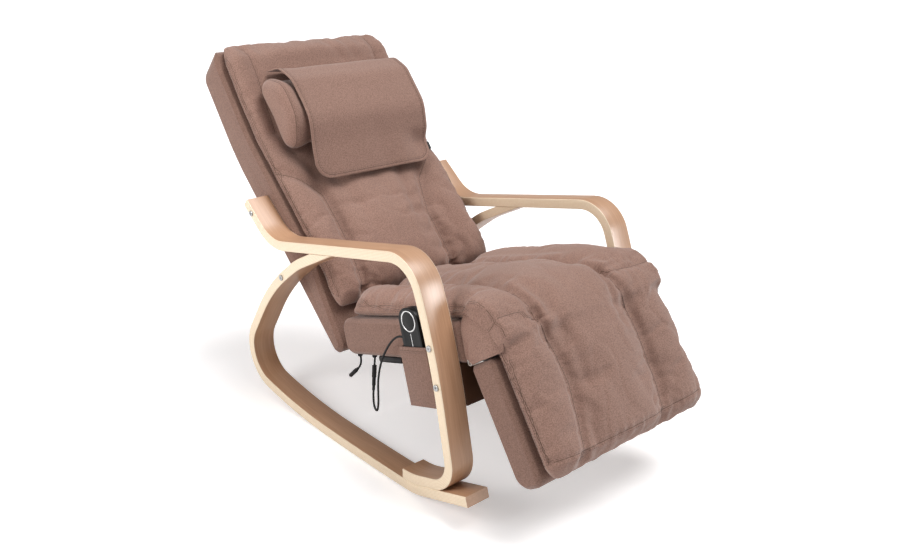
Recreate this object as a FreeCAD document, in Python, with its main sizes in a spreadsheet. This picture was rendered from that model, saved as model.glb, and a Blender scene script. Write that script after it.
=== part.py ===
import FreeCAD, Part
import math
import os
from types import SimpleNamespace

# Massage rocking chair: two bent-ply side frames carry an upholstered seat, a back box with a
# travelling massage carriage, and a hinged footrest. Front is -Y, the sitter's right is -X, the floor is Z 0.

os.makedirs("parts", exist_ok=True)
doc = FreeCAD.newDocument("massage_rocking_chair")
sizes = doc.addObject("Spreadsheet::Sheet", "sizes")

drivingSizes = {
    # side frames: width over both strips, strip section, and the middle of the length over the origin
    "overall_width": 660,
    "strip_width": 62,
    "strip_thick": 24,
    "middle_shift": -16,
    # arm strip: corners of its middle line and bend radii
    "tab_end_y": 375,
    "tab_end_z": 517,
    "tab_bend_y": 268,
    "tab_bend_z": 434,
    "tab_bend_radius": 122,
    "arm_front_y": -265,
    "arm_front_z": 553,
    "arm_front_radius": 84,
    "leg_y": -343,
    "leg_z": 364,
    "leg_radius": 1490,
    "leg_foot_y": -402,
    "leg_foot_z": 110,
    "leg_foot_radius": 62,
    "tail_length": 34,
    # rocker strip: scarfed front end, rear arc, rear bend
    "scarf_y": 12,
    "scarf_z": 491,
    "shoulder_y": 154,
    "shoulder_z": 416,
    "shoulder_radius": 298,
    "arc_y": 280,
    "arc_z": 319,
    "arc_radius": 570,
    "rear_bend_radius": 89,
    # runner: radii of the sole behind and in front of the point that it rests on
    "rest_y": 42,
    "sole_rear_radius": 1500,
    "sole_rear_angle": 10,
    "sole_rear_run": 150,
    "sole_front_radius": 9000,
    "sole_front_angle": 1.9,
    "tip_radius": 210,
    "tip_angle": 16.2,
    "tip_run": 149,
    # bolts, as distances along the middle line of their strip
    "bolt_dia": 8,
    "bolt_head_dia": 14,
    "bolt_head_high": 3.5,
    "bolt_socket": 5,
    "bolt_reach": 32,
    "sleeve_dia": 12,
    "sleeve_length": 36,
    "hole_play": 0.6,
    "tab_bolt": 35,
    "arc_bolt": 246,
    "seat_bolt_level": 50,
    "rail_bolt_level": -33,
    # seat base, in a frame that rises to the front
    "seat_front_y": -376,
    "seat_front_z": 340,
    "seat_slope": 18,
    "seat_length": 440,
    "seat_thick": 88,
    "seat_round": 26,
    "cover_round": 9,
    "rail_back": 20,
    "rail_thick": 22,
    "rail_deep": 92,
    # back box, in a frame that leans back
    "back_y": 248,
    "back_z": 329,
    "back_rise": 42.6,
    "back_thick": 98,
    "back_low": -215,
    "back_low_thick": 38,
    "back_taper_top": 30,
    "back_bend_at": 378,
    "back_bend_angle": 10,
    "back_top": 272,
    "back_corner": 55,
    "bracket_wide": 40,
    "bracket_thick": 4,
    "bracket_x": 150,
    "bracket_seat_run": 110,
    "bracket_back_run": 95,
    # footrest, hung from the lower front edge of the seat
    "hinge_ahead": 6,
    "hinge_pin_dia": 6,
    "hinge_knuckle_dia": 11,
    "hinge_leaf_thick": 2.5,
    "hinge_leaf_high": 44,
    "hinge_wide": 60,
    "hinge_inset": 6,
    "hinge_play": 0.05,
    "knuckle_gap": 0.4,
    "foot_hang": 54.9,
    "foot_length": 279,
    "foot_thick": 75,
    "foot_round": 34,
    # upholstery
    "mattress_inset": 11,
    "mattress_lift": 0.8,
    "knee_bevel": 6,
    "channel_x": 126,
    "back_channel_x": 163,
    "head_channel_inset": 36,
    "pillow_half": 205,
    "pillow_long": 186,
    "pillow_deep": 82,
    "pillow_crown": 92,
    "pillow_bevel": 12,
    "pillow_at": 612,
    "flap_right": -165,
    "flap_left": 205,
    "flap_thick": 3,
    "flap_corner": 45,
    "tag_wide": 12,
    "tag_long": 22,
    "tag_thick": 1.6,
    # massage carriage in the back box
    "bay_half": 200,
    "bay_low": -30,
    "bay_high": 372,
    "bay_floor": 18,
    "rod_dia": 12,
    "rod_x": 132,
    "rod_level": 46,
    "rod_bed": 12,
    "screw_dia": 14,
    "screw_neck_dia": 8,
    "lift_motor_dia": 46,
    "lift_motor_long": 75,
    "carriage_at": 214,
    "carriage_long": 120,
    "carriage_half": 158,
    "carriage_thick": 24,
    "slide_play": 0.05,
    "head_x": 86,
    "head_reach": 28,
    "head_knob_dia": 26,
    "head_plate": 6,
    "head_hub_dia": 24,
    "head_shaft_dia": 10,
    "head_gap": 0.4,
    "massage_motor_dia": 34,
    "massage_motor_long": 84,
    # remote control in its pocket on the right side of the seat
    "remote_at": 130,
    "remote_wide": 66,
    "remote_long": 195,
    "remote_thick": 24,
    "remote_cover_thick": 9,
    "remote_low": -69.7,
    "remote_round": 30,
    "remote_ring_dia": 48,
    "remote_ring_wide": 3.5,
    "remote_ring_proud": 0.8,
    "remote_dial_travel": 1.2,
    "remote_dial_at": 96,
    "remote_line_wide": 1.6,
    "remote_line_deep": 1,
    "pocket_wall": 3,
    "pocket_wide": 92,
    "pocket_top": 40,
    "pocket_floor": -70,
    "pocket_low": -94,
    "pocket_play": 0.5,
    # control box, glands and cords under the seat
    "box_clear": 12,
    "box_long": 86,
    "box_wide": 110,
    "box_high": 14,
    "gland_dia": 12,
    "gland_long": 7,
    "gland_in": 18,
    "remote_gland_in": 90,
    "supply_gland_in": 30,
    "cord_dia": 5,
    "connector_dia": 10,
}
for row, (name, value) in enumerate(drivingSizes.items(), 1):
    sizes.set("A%d" % row, name)
    sizes.set("B%d" % row, str(value))
    sizes.setAlias("B%d" % row, name)
doc.recompute()
size = SimpleNamespace(**{name: float(sizes.get(name)) for name in drivingSizes})

half = size.overall_width / 2
inner = half - size.strip_width
xAxis = FreeCAD.Vector(1, 0, 0)
nodes = []


def vec(x, y, z=0.0):
    return FreeCAD.Vector(x, y, z)


def keep(obj):
    nodes.append(obj)
    return obj


def bind(obj, **cells):
    for prop, expression in cells.items():
        obj.setExpression(prop, expression)
    return obj


def place(x, y, z, angle=0.0):
    return FreeCAD.Placement(vec(x, y, z), FreeCAD.Rotation(xAxis, angle))


# Plane paths: straight runs joined by tangent arcs, each run with a start, a heading, a length and a turn

def step(point, heading, distance):
    return (point[0] + distance * math.cos(heading), point[1] + distance * math.sin(heading))


def heading_of(p, q):
    return math.atan2(q[1] - p[1], q[0] - p[0])


def bent_path(corners, radii):
    runs = []
    start = corners[0]
    for before, corner, after, radius in zip(corners, corners[1:], corners[2:], radii):
        inward = heading_of(before, corner)
        turn = (heading_of(corner, after) - inward + math.pi) % (2 * math.pi) - math.pi
        reach = radius * math.tan(abs(turn) / 2)
        arcStart = step(corner, inward, -reach)
        straight = math.dist(start, arcStart)
        if straight > 0.01:
            runs.append((start, inward, straight, 0.0))
        runs.append((arcStart, inward, radius * abs(turn), turn))
        start = step(corner, inward + turn, reach)
    runs.append((start, heading_of(start, corners[-1]), math.dist(start, corners[-1]), 0.0))
    return runs


def on_run(run, share):
    start, heading, length, turn = run
    if turn == 0.0:
        return step(start, heading, length * share), heading
    radius = length / turn
    centre = step(start, heading + math.pi / 2, radius)
    return step(centre, heading + turn * share - math.pi / 2, radius), heading + turn * share


def on_path(runs, distance):
    for run in runs:
        if distance <= run[2] or run is runs[-1]:
            return on_run(run, distance / run[2])
        distance -= run[2]


def beside(point, heading, offset):
    return step(point, heading + math.pi / 2, offset)


def run_edge(run, offset=0.0):
    first, middle, last = [vec(*beside(*on_run(run, share), offset)) for share in (0.0, 0.5, 1.0)]
    if run[3] == 0.0:
        return Part.LineSegment(first, last)
    if run[3] < 0.0:
        first, last = last, first
    return Part.Arc(first, middle, last)


def strip_outline(runs, thick):
    edges = [run_edge(run, offset) for offset in (thick / 2, -thick / 2) for run in runs]
    for run, share in ((runs[0], 0.0), (runs[-1], 1.0)):
        end = on_run(run, share)
        edges.append(Part.LineSegment(vec(*beside(*end, thick / 2)), vec(*beside(*end, -thick / 2))))
    return edges


def round_outline(corners, radii):
    seam = tuple((a + b) / 2 for a, b in zip(corners[-1], corners[0]))
    return [run_edge(run) for run in bent_path([seam] + corners + [seam], radii)]


def crossing(p, headingP, q, headingQ):
    along = math.cos(headingP) * math.sin(headingQ) - math.sin(headingP) * math.cos(headingQ)
    reach = ((q[0] - p[0]) * math.sin(headingQ) - (q[1] - p[1]) * math.cos(headingQ)) / along
    return step(p, headingP, reach)


# Solids from a side outline, padded along X in a frame of their own

def side_sketch(body, name, edges):
    sketch = body.newObject("Sketcher::SketchObject", name)
    plane = [f for f in body.Origin.OriginFeatures if f.Role == "YZ_Plane"][0]
    sketch.AttachmentSupport = [(plane, "")]
    sketch.MapMode = "FlatFace"
    for edge in edges:
        sketch.addGeometry(edge, False)
    return sketch


def padded(label, edges, width, frame, shift):
    body = doc.addObject("PartDesign::Body", label)
    pad = body.newObject("PartDesign::Pad", label + "_pad")
    pad.Profile = side_sketch(body, label + "_outline", edges)
    bind(pad, Length=width)
    body.Tip = pad
    body.Placement = frame * FreeCAD.Placement(vec(shift, 0, 0), FreeCAD.Rotation())
    doc.recompute()
    return body


def soften_sides(body, reach):
    pad = body.Tip
    sides = ["Edge%d" % i for i, e in enumerate(pad.Shape.Edges, 1) if e.BoundBox.XLength < 0.001]
    bevel = body.newObject("PartDesign::Chamfer", body.Name + "_soft")
    bevel.Base = (pad, sides)
    bind(bevel, Size=reach)
    body.Tip = bevel
    doc.recompute()
    return body


def solid_of(label, shape, frame=FreeCAD.Placement()):
    feature = doc.addObject("Part::Feature", label)
    feature.Shape = shape
    feature.Placement = frame
    return feature


def cut(label, base, tools):
    result = doc.addObject("Part::Cut", label)
    result.Base = base
    result.Tool = tools[0]
    if len(tools) > 1:
        result.Tool = doc.addObject("Part::MultiFuse", label + "_tools")
        result.Tool.Shapes = tools
    doc.recompute()
    return result


def cylinder(label, radius, height, frame, axis=None):
    rod = bind(doc.addObject("Part::Cylinder", label), Radius=radius, Height=height)
    turned = FreeCAD.Rotation() if axis is None else FreeCAD.Rotation(vec(0, 0, 1), axis)
    rod.Placement = frame * FreeCAD.Placement(vec(0, 0, 0), turned)
    return rod


def box(label, length, width, height, frame):
    block = bind(doc.addObject("Part::Box", label), Length=length, Width=width, Height=height)
    block.Placement = frame
    return block


def in_frame(frame, x, y, z):
    return frame * FreeCAD.Placement(vec(x, y, z), FreeCAD.Rotation())


# Side frames

thick = size.strip_thick
shift = size.middle_shift
ground = place(0, shift, 0)


def rocker_corners():
    rear = (size.sole_rear_radius - thick / 2) * math.tan(math.radians(size.sole_rear_angle) / 2)
    front = (size.sole_front_radius - thick / 2) * math.tan(math.radians(size.sole_front_angle) / 2)
    tipReach = size.tip_radius * math.tan(math.radians(size.tip_angle) / 2)
    rearCorner = (size.rest_y + rear, thick / 2)
    heel = step(rearCorner, math.radians(size.sole_rear_angle), rear + size.sole_rear_run)
    frontCorner = (size.rest_y - front, thick / 2)
    frontHeading = math.pi - math.radians(size.sole_front_angle)
    toe = step(frontCorner, frontHeading, front + tipReach)
    tip = step(toe, frontHeading - math.radians(size.tip_angle), size.tip_run + tipReach)
    upper = [(size.scarf_y, size.scarf_z), (size.shoulder_y, size.shoulder_z), (size.arc_y, size.arc_z)]
    return upper + [heel, rearCorner, frontCorner, toe, tip]


rockerCorners = rocker_corners()
rocker = bent_path(rockerCorners, [
    size.shoulder_radius, size.arc_radius, size.rear_bend_radius,
    size.sole_rear_radius - thick / 2, size.sole_front_radius - thick / 2, size.tip_radius,
])
toe, tip = rockerCorners[-2:]
tipHeading = heading_of(tip, toe)
soleHeading = tipHeading + math.radians(size.tip_angle)
tailTurn = beside(toe, (tipHeading + soleHeading) / 2, thick / math.cos(math.radians(size.tip_angle) / 2))
legFoot = (size.leg_foot_y, size.leg_foot_z)
legHeading = heading_of((size.leg_y, size.leg_z), legFoot)
tailCorner = crossing(legFoot, legHeading, beside(tip, tipHeading, thick), tipHeading)
tailEnd = step(tailTurn, soleHeading, size.tail_length)
arm = bent_path(
    [(size.tab_end_y, size.tab_end_z), (size.tab_bend_y, size.tab_bend_z), (size.arm_front_y, size.arm_front_z),
     (size.leg_y, size.leg_z), tailCorner, tailTurn, tailEnd],
    [size.tab_bend_radius, size.arm_front_radius, size.leg_radius, size.leg_foot_radius, size.tip_radius - thick],
)
seatFrame = place(0, size.seat_front_y + shift, size.seat_front_z, -size.seat_slope)
backFrame = place(0, size.back_y + shift, size.back_z, size.back_rise)
footFrame = seatFrame * place(0, -size.hinge_ahead, 0, size.seat_slope + size.foot_hang)


def level_on_leg(level):
    low, high = sum(run[2] for run in arm[:4]), sum(run[2] for run in arm)
    for _ in range(50):
        middle = (low + high) / 2
        point = on_path(arm, middle)[0]
        if seatFrame.inverse().multVec(vec(0, point[0] + shift, point[1])).z > level:
            low = middle
        else:
            high = middle
    return on_path(arm, low)[0]


armBolts = [on_path(arm, size.tab_bolt)[0], level_on_leg(size.seat_bolt_level), level_on_leg(size.rail_bolt_level)]
rockerBolts = [on_path(rocker, size.arc_bolt)[0]]
boltHole = (size.bolt_dia + size.hole_play) / 2


def bolt_holes(points):
    return [Part.Circle(vec(*point), vec(0, 0, 1), boltHole) for point in points]


armFront = (size.arm_front_y, size.arm_front_z)
armRise = heading_of(armFront, (size.tab_bend_y, size.tab_bend_z))
underFront = beside(armFront, armRise, -thick / 2)
scarfBlock = [step(underFront, armRise, 100), step(underFront, armRise, 700)]
scarfBlock += [beside(scarfBlock[1], armRise, 200), beside(scarfBlock[0], armRise, 200)]
for side, start in (("right", -half), ("left", inner)):
    strip = padded("arm_strip_" + side, strip_outline(arm, thick) + bolt_holes(armBolts),
                   "sizes.strip_width", ground, start)
    keep(strip)
    strip = padded("rocker_strip_" + side, strip_outline(rocker, thick) + bolt_holes(rockerBolts),
                   "sizes.strip_width", ground, start)
    whole = strip.Shape.Volume
    scarf = strip.newObject("PartDesign::Pocket", "scarf_" + side)
    scarf.Profile = side_sketch(strip, "scarf_outline_" + side, [
        Part.LineSegment(vec(*a), vec(*b)) for a, b in zip(scarfBlock, scarfBlock[1:] + scarfBlock[:1])])
    scarf.Reversed = True
    bind(scarf, Length="sizes.strip_width")
    strip.Tip = scarf
    doc.recompute()
    print("scarf", side, "takes", round(whole - strip.Shape.Volume), "mm3")
    keep(strip)

# Bolts through the strips' width, with threaded sleeves in what they hold

boltPoints = armBolts + rockerBolts


def prism(sides, radius, length, start=0.0):
    corners = [vec(start, radius * math.cos(a), radius * math.sin(a))
               for a in (2 * math.pi * i / sides for i in range(sides + 1))]
    return Part.Face(Part.makePolygon(corners)).extrude(vec(length, 0, 0))


def bolt_shape():
    head = prism(16, size.bolt_head_dia / 2, size.bolt_head_high, -size.bolt_head_high)
    shank = prism(8, size.bolt_dia / 2, size.strip_width + size.bolt_reach)
    socket = prism(6, size.bolt_socket / 2, size.bolt_head_high * 0.7, -size.bolt_head_high)
    return head.fuse(shank).removeSplitter().cut(socket)


def sleeve_shape():
    outer = prism(6, size.sleeve_dia / 2, size.sleeve_length)
    bore = prism(8, size.bolt_dia / 2 + 0.1, size.sleeve_length)
    return outer.cut(bore)


def both_sides(shape, x):
    copies = []
    for point in boltPoints:
        for turn in (0, 180):
            frame = FreeCAD.Placement(vec(0, point[0] + shift, point[1]), FreeCAD.Rotation(vec(0, 0, 1), turn))
            moved = shape.copy()
            moved.Placement = frame * FreeCAD.Placement(vec(x, 0, 0), FreeCAD.Rotation())
            copies.append(moved)
    return Part.makeCompound(copies)


keep(solid_of("frame_bolts", both_sides(bolt_shape(), -half)))
keep(solid_of("threaded_sleeves", both_sides(sleeve_shape(), -inner)))


def sleeve_holes(label, points):
    tools = []
    for number, point in enumerate(points):
        for sideName, x in (("right", -inner), ("left", inner - size.sleeve_length)):
            tools.append(solid_of("%s_hole_%s_%d" % (label, sideName, number),
                                  prism(6, size.sleeve_dia / 2, size.sleeve_length),
                                  place(x, point[0] + shift, point[1])))
    return tools


# Seat base, front rail and the straps that tie the seat to the back

wide = "sizes.overall_width - 2 * sizes.strip_width"
seatOutline = round_outline(
    [(0, 0), (size.seat_length, 0), (size.seat_length, size.seat_thick), (0, size.seat_thick)],
    [size.seat_round / 2, size.seat_round, size.seat_round, size.seat_round / 2])
seatBody = soften_sides(padded("seat_body", seatOutline, wide, seatFrame, -inner), "sizes.cover_round")
keep(cut("seat_base", seatBody, sleeve_holes("seat", [armBolts[1]])))
railBlock = box("rail_block", wide, "sizes.rail_thick", "sizes.rail_deep",
                in_frame(seatFrame, -inner, size.rail_back, -size.rail_deep))
keep(cut("front_rail", railBlock, sleeve_holes("rail", [armBolts[2]])))

# Back box: straight, tapered at the foot and bent forward at the head

bend = math.radians(size.back_bend_angle)
backRear = [(size.back_low, 0), (size.back_bend_at, 0), step((size.back_bend_at, 0), bend, size.back_top)]
frontBend = beside((size.back_bend_at, 0), bend / 2, size.back_thick / math.cos(bend / 2))
backFront = [(size.back_low, size.back_low_thick), (size.back_taper_top, size.back_thick), frontBend,
             beside(backRear[2], bend, size.back_thick - 4)]
backOutline = round_outline(backRear + backFront[::-1], [15, 800, 58, 26, 700, 480, 16])
backBody = soften_sides(padded("back_body", backOutline, wide, backFrame, -inner), "sizes.cover_round")


def head_corner(side):
    corner = size.back_corner
    top = size.back_bend_at + size.back_top + size.back_thick
    square = Part.makeBox(corner, top, 4 * size.back_thick, vec(inner - corner, 0, -2 * size.back_thick))
    rounding = Part.makeCylinder(corner, 8 * size.back_thick,
                                 vec(inner - corner, size.back_bend_at + size.back_top - corner - 8,
                                     -4 * size.back_thick), vec(0, 0, 1))
    low = Part.makeBox(2 * corner, size.back_bend_at + size.back_top - corner - 8, 8 * size.back_thick,
                       vec(inner - corner, 0, -4 * size.back_thick))
    tool = square.cut(rounding).cut(low)
    return tool if side > 0 else tool.mirror(vec(0, 0, 0), xAxis)


cornerTools = [solid_of("head_corner_%d" % i, head_corner(side), backFrame) for i, side in enumerate((1, -1))]
bay = box("bay", "2 * sizes.bay_half", "sizes.bay_high - sizes.bay_low", "2 * sizes.back_thick",
          in_frame(backFrame, -size.bay_half, size.bay_low, size.bay_floor))
yAxis = vec(0, 1, 0)
rodLength = "sizes.bay_high - sizes.bay_low + 2 * sizes.rod_bed"
rodBeds = [cylinder("rod_bed_%d" % i, "sizes.rod_dia / 2", rodLength,
                    in_frame(backFrame, x, size.bay_low - size.rod_bed, size.rod_level), yAxis)
           for i, x in enumerate((-size.rod_x, size.rod_x))]
screwBed = cylinder("screw_bed", "sizes.screw_neck_dia / 2 + sizes.slide_play", "sizes.rod_bed",
                    in_frame(backFrame, 0, size.bay_high, size.rod_level), yAxis)
backTools = cornerTools + [bay, screwBed] + rodBeds
backTools += sleeve_holes("back", [armBolts[0], rockerBolts[0]])
keep(cut("back_panel", backBody, backTools))


def strap_path():
    frame = seatFrame.inverse() * backFrame
    foot = frame.multVec(vec(0, size.back_low, -size.bracket_thick / 2))
    lean = frame.Rotation.multVec(vec(0, 1, 0))
    backHeading = math.atan2(lean.z, lean.y)
    level = -size.bracket_thick / 2
    corner = crossing((foot.y, foot.z), backHeading, (0.0, level), 0.0)
    start = (size.seat_length - size.bracket_seat_run, level)
    return bent_path([start, corner, step(corner, backHeading, size.bracket_back_run)], [size.bracket_thick * 2])


strapEdges = strip_outline(strap_path(), size.bracket_thick)
straps = [padded("strap_%d" % i, strapEdges, "sizes.bracket_wide", seatFrame, x)
          for i, x in enumerate((-size.bracket_x - size.bracket_wide, size.bracket_x))]
keep(solid_of("seat_straps", Part.makeCompound([strap.Shape for strap in straps])))

# Footrest panel and its two hinges

footOutline = round_outline(
    [(-size.hinge_ahead, -2), (-size.hinge_ahead, size.foot_thick - 2), (-size.foot_length, size.foot_thick - 2),
     (-size.foot_length, -2)],
    [size.cover_round + 3, 14, size.foot_round * 0.7, size.foot_round])
footBody = padded("foot_panel", footOutline, "sizes.overall_width - 2 * sizes.strip_width - 4", footFrame, -inner + 2)
keep(soften_sides(footBody, "sizes.cover_round"))

pinRadius = size.hinge_pin_dia / 2
third = size.hinge_wide / 4


def knuckle(start, length, bore):
    tube = Part.makeCylinder(size.hinge_knuckle_dia / 2, length, vec(start, 0, 0), xAxis)
    return tube, Part.makeCylinder(bore, length, vec(start, 0, 0), xAxis)


def hinge_leaf(spans, bore, plate):
    leaf = plate
    bores = []
    for start, length in spans:
        tube, hole = knuckle(start, length, bore)
        leaf = leaf.fuse(tube)
        bores.append(hole)
    for hole in bores:
        leaf = leaf.cut(hole)
    return leaf.removeSplitter()


gap = size.knuckle_gap
seatSpans = [(0, third), (size.hinge_wide - third, third)]
footSpans = [(third + gap, size.hinge_wide - 2 * third - 2 * gap)]
reach = size.hinge_ahead - size.hinge_leaf_thick
seatPlates = [Part.makeBox(length, size.hinge_leaf_thick, size.hinge_leaf_high, vec(start, reach, 0))
              for start, length in seatSpans]
bridge = Part.makeBox(size.hinge_wide, size.hinge_leaf_thick, size.hinge_leaf_high - 9,
                      vec(0, reach, 9))
seatLeaf = hinge_leaf(seatSpans, pinRadius, bridge.fuse(seatPlates[0]).fuse(seatPlates[1]))
footPlate = Part.makeBox(footSpans[0][1], size.hinge_leaf_thick, size.hinge_leaf_high,
                         vec(footSpans[0][0], -size.hinge_ahead, 0))
footBridge = Part.makeBox(size.hinge_wide, size.hinge_leaf_thick, size.hinge_leaf_high - 9,
                          vec(0, -size.hinge_ahead, 9))
footLeaf = hinge_leaf(footSpans, pinRadius + size.hinge_play, footBridge.fuse(footPlate))
pin = Part.makeCylinder(pinRadius, size.hinge_wide, vec(0, 0, 0), xAxis)
hingeStarts = (-inner + size.hinge_inset, inner - size.hinge_inset - size.hinge_wide)
hingeFrame = seatFrame * place(0, -size.hinge_ahead, 0)


def hinge_pair(label, shape, frame):
    copies = []
    for x in hingeStarts:
        moved = shape.copy()
        moved.Placement = in_frame(frame, x, 0, 0)
        copies.append(moved)
    return keep(solid_of(label, Part.makeCompound(copies)))


hinge_pair("hinge_seat_leaves", seatLeaf, hingeFrame)
hinge_pair("hinge_foot_leaves", footLeaf, footFrame)
hinge_pair("hinge_pins", pin, hingeFrame)

# Upholstered pads: lofts through cross sections with drawn-in sides, two bolsters and a crowned middle

padHalf = inner - size.mattress_inset


def pad_section(station):
    draw = station.edge * 0.32
    foot = station.half - draw
    points = [
        (-foot, 0), (foot, 0), (station.half, station.edge * 0.5), (foot, station.edge),
        ((foot + station.channel) / 2, station.bolster), (station.channel, station.dip), (0, station.crown),
        (-station.channel, station.dip), (-(foot + station.channel) / 2, station.bolster), (-foot, station.edge),
        (-station.half, station.edge * 0.5),
    ]
    base, heading = station.at
    rise = heading + math.pi / 2
    p = [vec(x, *step(base, rise, level)) for x, level in points]
    lines = [(9, 10), (10, 0), (0, 1), (1, 2), (2, 3)]
    arcs = [(3, 4, 5), (5, 6, 7), (7, 8, 9)]
    edges = [Part.LineSegment(p[a], p[b]).toShape() for a, b in lines]
    edges += [Part.Arc(p[a], p[b], p[c]).toShape() for a, b, c in arcs]
    return Part.Wire(edges)


def station(at, inset, edge, channel, dip, bolster, crown):
    return SimpleNamespace(at=at, half=padHalf - inset, edge=edge, channel=channel, dip=dip,
                           bolster=bolster, crown=crown)


def pad(label, stations, frame):
    shape = Part.makeLoft([pad_section(s) for s in stations], True, True)
    if shape.Volume < 0:
        shape.reverse()
    return keep(solid_of(label, shape, frame))


frontPath = bent_path(backFront, [480, 700])
frontLong = sum(run[2] for run in frontPath)
narrow = size.back_channel_x
headChannel = padHalf - size.head_channel_inset
print("back pad runs along", round(frontLong, 1))


def on_back(distance, lift=size.mattress_lift):
    point, heading = on_path(frontPath, distance)
    return beside(point, heading, lift), heading


pad("back_mattress", [
    station(on_back(96), 16, 22, narrow - 10, 26, 30, 34),
    station(on_back(126), 2, 42, narrow, 42, 58, 60),
    station(on_back(190, 2.4 * size.mattress_lift), 0, 38, narrow, 36, 52, 56),
    station(on_back(255, 2.4 * size.mattress_lift), 0, 30, narrow, 30, 46, 50),
    station(on_back(330), 0, 24, narrow, 27, 42, 46),
    station(on_back(450), 0, 24, narrow, 27, 42, 46),
    station(on_back(580), 0, 30, headChannel, 36, 38, 45),
    station(on_back(690), 0, 30, headChannel, 40, 41, 50),
    station(on_back(frontLong - 54), 0, 38, headChannel, 49, 50, 58),
    station(on_back(frontLong - 4), 16, 18, headChannel - 18, 22, 22, 26),
], backFrame)

seatTop = size.seat_thick + size.mattress_lift
across = size.channel_x


def on_seat(distance):
    return (distance, seatTop), 0.0


pad("seat_mattress", [
    station(on_seat(-10), 1, 34, across, 42, 50, 52),
    station(on_seat(50), 0, 36, across, 46, 59, 60),
    station(on_seat(size.seat_length - 55), 0, 36, across, 46, 59, 60),
    station(on_seat(size.seat_length - 16), 18, 20, across, 24, 26, 28),
], seatFrame)

footTop = size.foot_thick - 2 + size.mattress_lift


def on_foot(distance):
    return (distance, footTop), 0.0


pad("foot_mattress", [
    station(on_foot(3 - size.foot_length), 20, 18, across, 22, 24, 26),
    station(on_foot(29 - size.foot_length), 1, 38, across, 49, 60, 61.2),
    station(on_foot(-50), 1, 38, across, 49, 60, 61.2),
    station(on_foot(1), 1, 34, across, 42, 52, 54),
], footFrame)

hingeInSeat = (-size.hinge_ahead, 0.0)


def round_knee(angle, radius):
    return step(hingeInSeat, math.radians(90 + angle), radius)


kneeOpen = size.seat_slope + size.foot_hang
kneeCorners = [round_knee(share * kneeOpen, radius) for share, radius in (
    (0.038, 90), (0.038, 137), (0.5, 151), (0.94, 131), (0.94, 78), (0.5, 66))]
kneeOutline = round_outline(kneeCorners, [7, 9, 110, 9, 7, 60])
kneeWide = "sizes.overall_width - 2 * sizes.strip_width - 2 * sizes.mattress_inset - 4"
keep(soften_sides(padded("knee_roll", kneeOutline, kneeWide, seatFrame, -padHalf + 2), "sizes.knee_bevel"))

# Head pillow: a bolster that lies across the mattress, under a draped flap

pillowBase, pillowHeading = on_path(frontPath, size.pillow_at)
pillowFrame = backFrame * place(0, pillowBase[0], pillowBase[1], math.degrees(pillowHeading))
pillowLift = 51.8


pillowSide = size.pillow_long / 2
pillowCorners = [
    (pillowSide - 9, pillowLift + 2.1), (pillowSide - 1, pillowLift + 28),
    (size.pillow_crown / 2, pillowLift + size.pillow_deep - 2.5),
    (-size.pillow_crown / 2, pillowLift + size.pillow_deep - 2.5),
    (-pillowSide + 1, pillowLift + 28), (-pillowSide + 9, pillowLift + 2.1)]
pillowOutline = round_outline(pillowCorners, [18, 16, 60, 60, 16, 18])
keep(soften_sides(padded("head_pillow", pillowOutline, "2 * sizes.pillow_half", pillowFrame, -size.pillow_half),
                  "sizes.pillow_bevel"))

pillowTop = pillowLift + size.pillow_deep
flapClear = size.flap_thick / 2 + 0.8
flap = bent_path(
    [(126, pillowLift + 8.9), (104, pillowTop - 24), (54, pillowTop + flapClear + 1),
     (-58, pillowTop + flapClear + 1), (-114, pillowTop - 30), (-138, pillowLift + 18.6),
     (-200, pillowLift + 16.6)],
    [34, 48, 80, 44, 34])
flapEdges = strip_outline(flap, size.flap_thick)
flapWidth = "sizes.flap_left - sizes.flap_right"
flapBody = padded("flap_body", flapEdges, flapWidth, pillowFrame, size.flap_right)


def flap_corner(side):
    radius = size.flap_corner
    edge = size.flap_left if side > 0 else size.flap_right
    low = -200
    square = Part.makeBox(radius + 1, radius + 1, 80,
                          vec(edge - radius if side > 0 else edge - 1, low - 1, pillowLift - 40))
    rounding = Part.makeCylinder(radius, 80, vec(edge - side * radius, low + radius, pillowLift - 40), vec(0, 0, 1))
    return square.cut(rounding)


flapTools = [solid_of("flap_corner_%d" % i, flap_corner(side), pillowFrame) for i, side in enumerate((-1, 1))]
keep(cut("pillow_flap", flapBody, flapTools))
tagPoint, tagHeading = on_path(flap, sum(run[2] for run in flap) - 2 * size.tag_long)
tagFrame = pillowFrame * place(size.flap_left, tagPoint[0], tagPoint[1], math.degrees(tagHeading))
keep(box("flap_tag", "sizes.tag_wide", "sizes.tag_long", "sizes.tag_thick",
         in_frame(tagFrame, 0, -size.tag_long / 2, -size.tag_thick / 2)))

# Massage carriage on two guide rods, raised by a screw, with two turning heads

rods = [cylinder("rod_%d" % i, "sizes.rod_dia / 2", rodLength,
                 in_frame(backFrame, x, size.bay_low - size.rod_bed, size.rod_level), yAxis)
        for i, x in enumerate((-size.rod_x, size.rod_x))]
doc.recompute()
keep(solid_of("guide_rods", Part.makeCompound([rod.Shape for rod in rods])))
motorTop = size.bay_low + size.lift_motor_long
motorCan = cylinder("lift_motor_can", "sizes.lift_motor_dia / 2", "sizes.lift_motor_long",
                    in_frame(backFrame, 0, size.bay_low, size.rod_level), yAxis)
motorBore = cylinder("lift_motor_bore", "sizes.screw_neck_dia / 2 + sizes.slide_play", "sizes.rod_bed",
                     in_frame(backFrame, 0, motorTop - size.rod_bed, size.rod_level), yAxis)
keep(cut("lift_motor", motorCan, [motorBore]))
screwStart = motorTop + size.head_gap
screwEnd = size.bay_high - size.head_gap
thread = Part.makeCylinder(size.screw_dia / 2, screwEnd - screwStart, vec(0, screwStart, size.rod_level), yAxis)
neckLow = Part.makeCylinder(size.screw_neck_dia / 2, size.rod_bed - 1,
                            vec(0, screwStart - size.rod_bed + 1, size.rod_level), yAxis)
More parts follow.
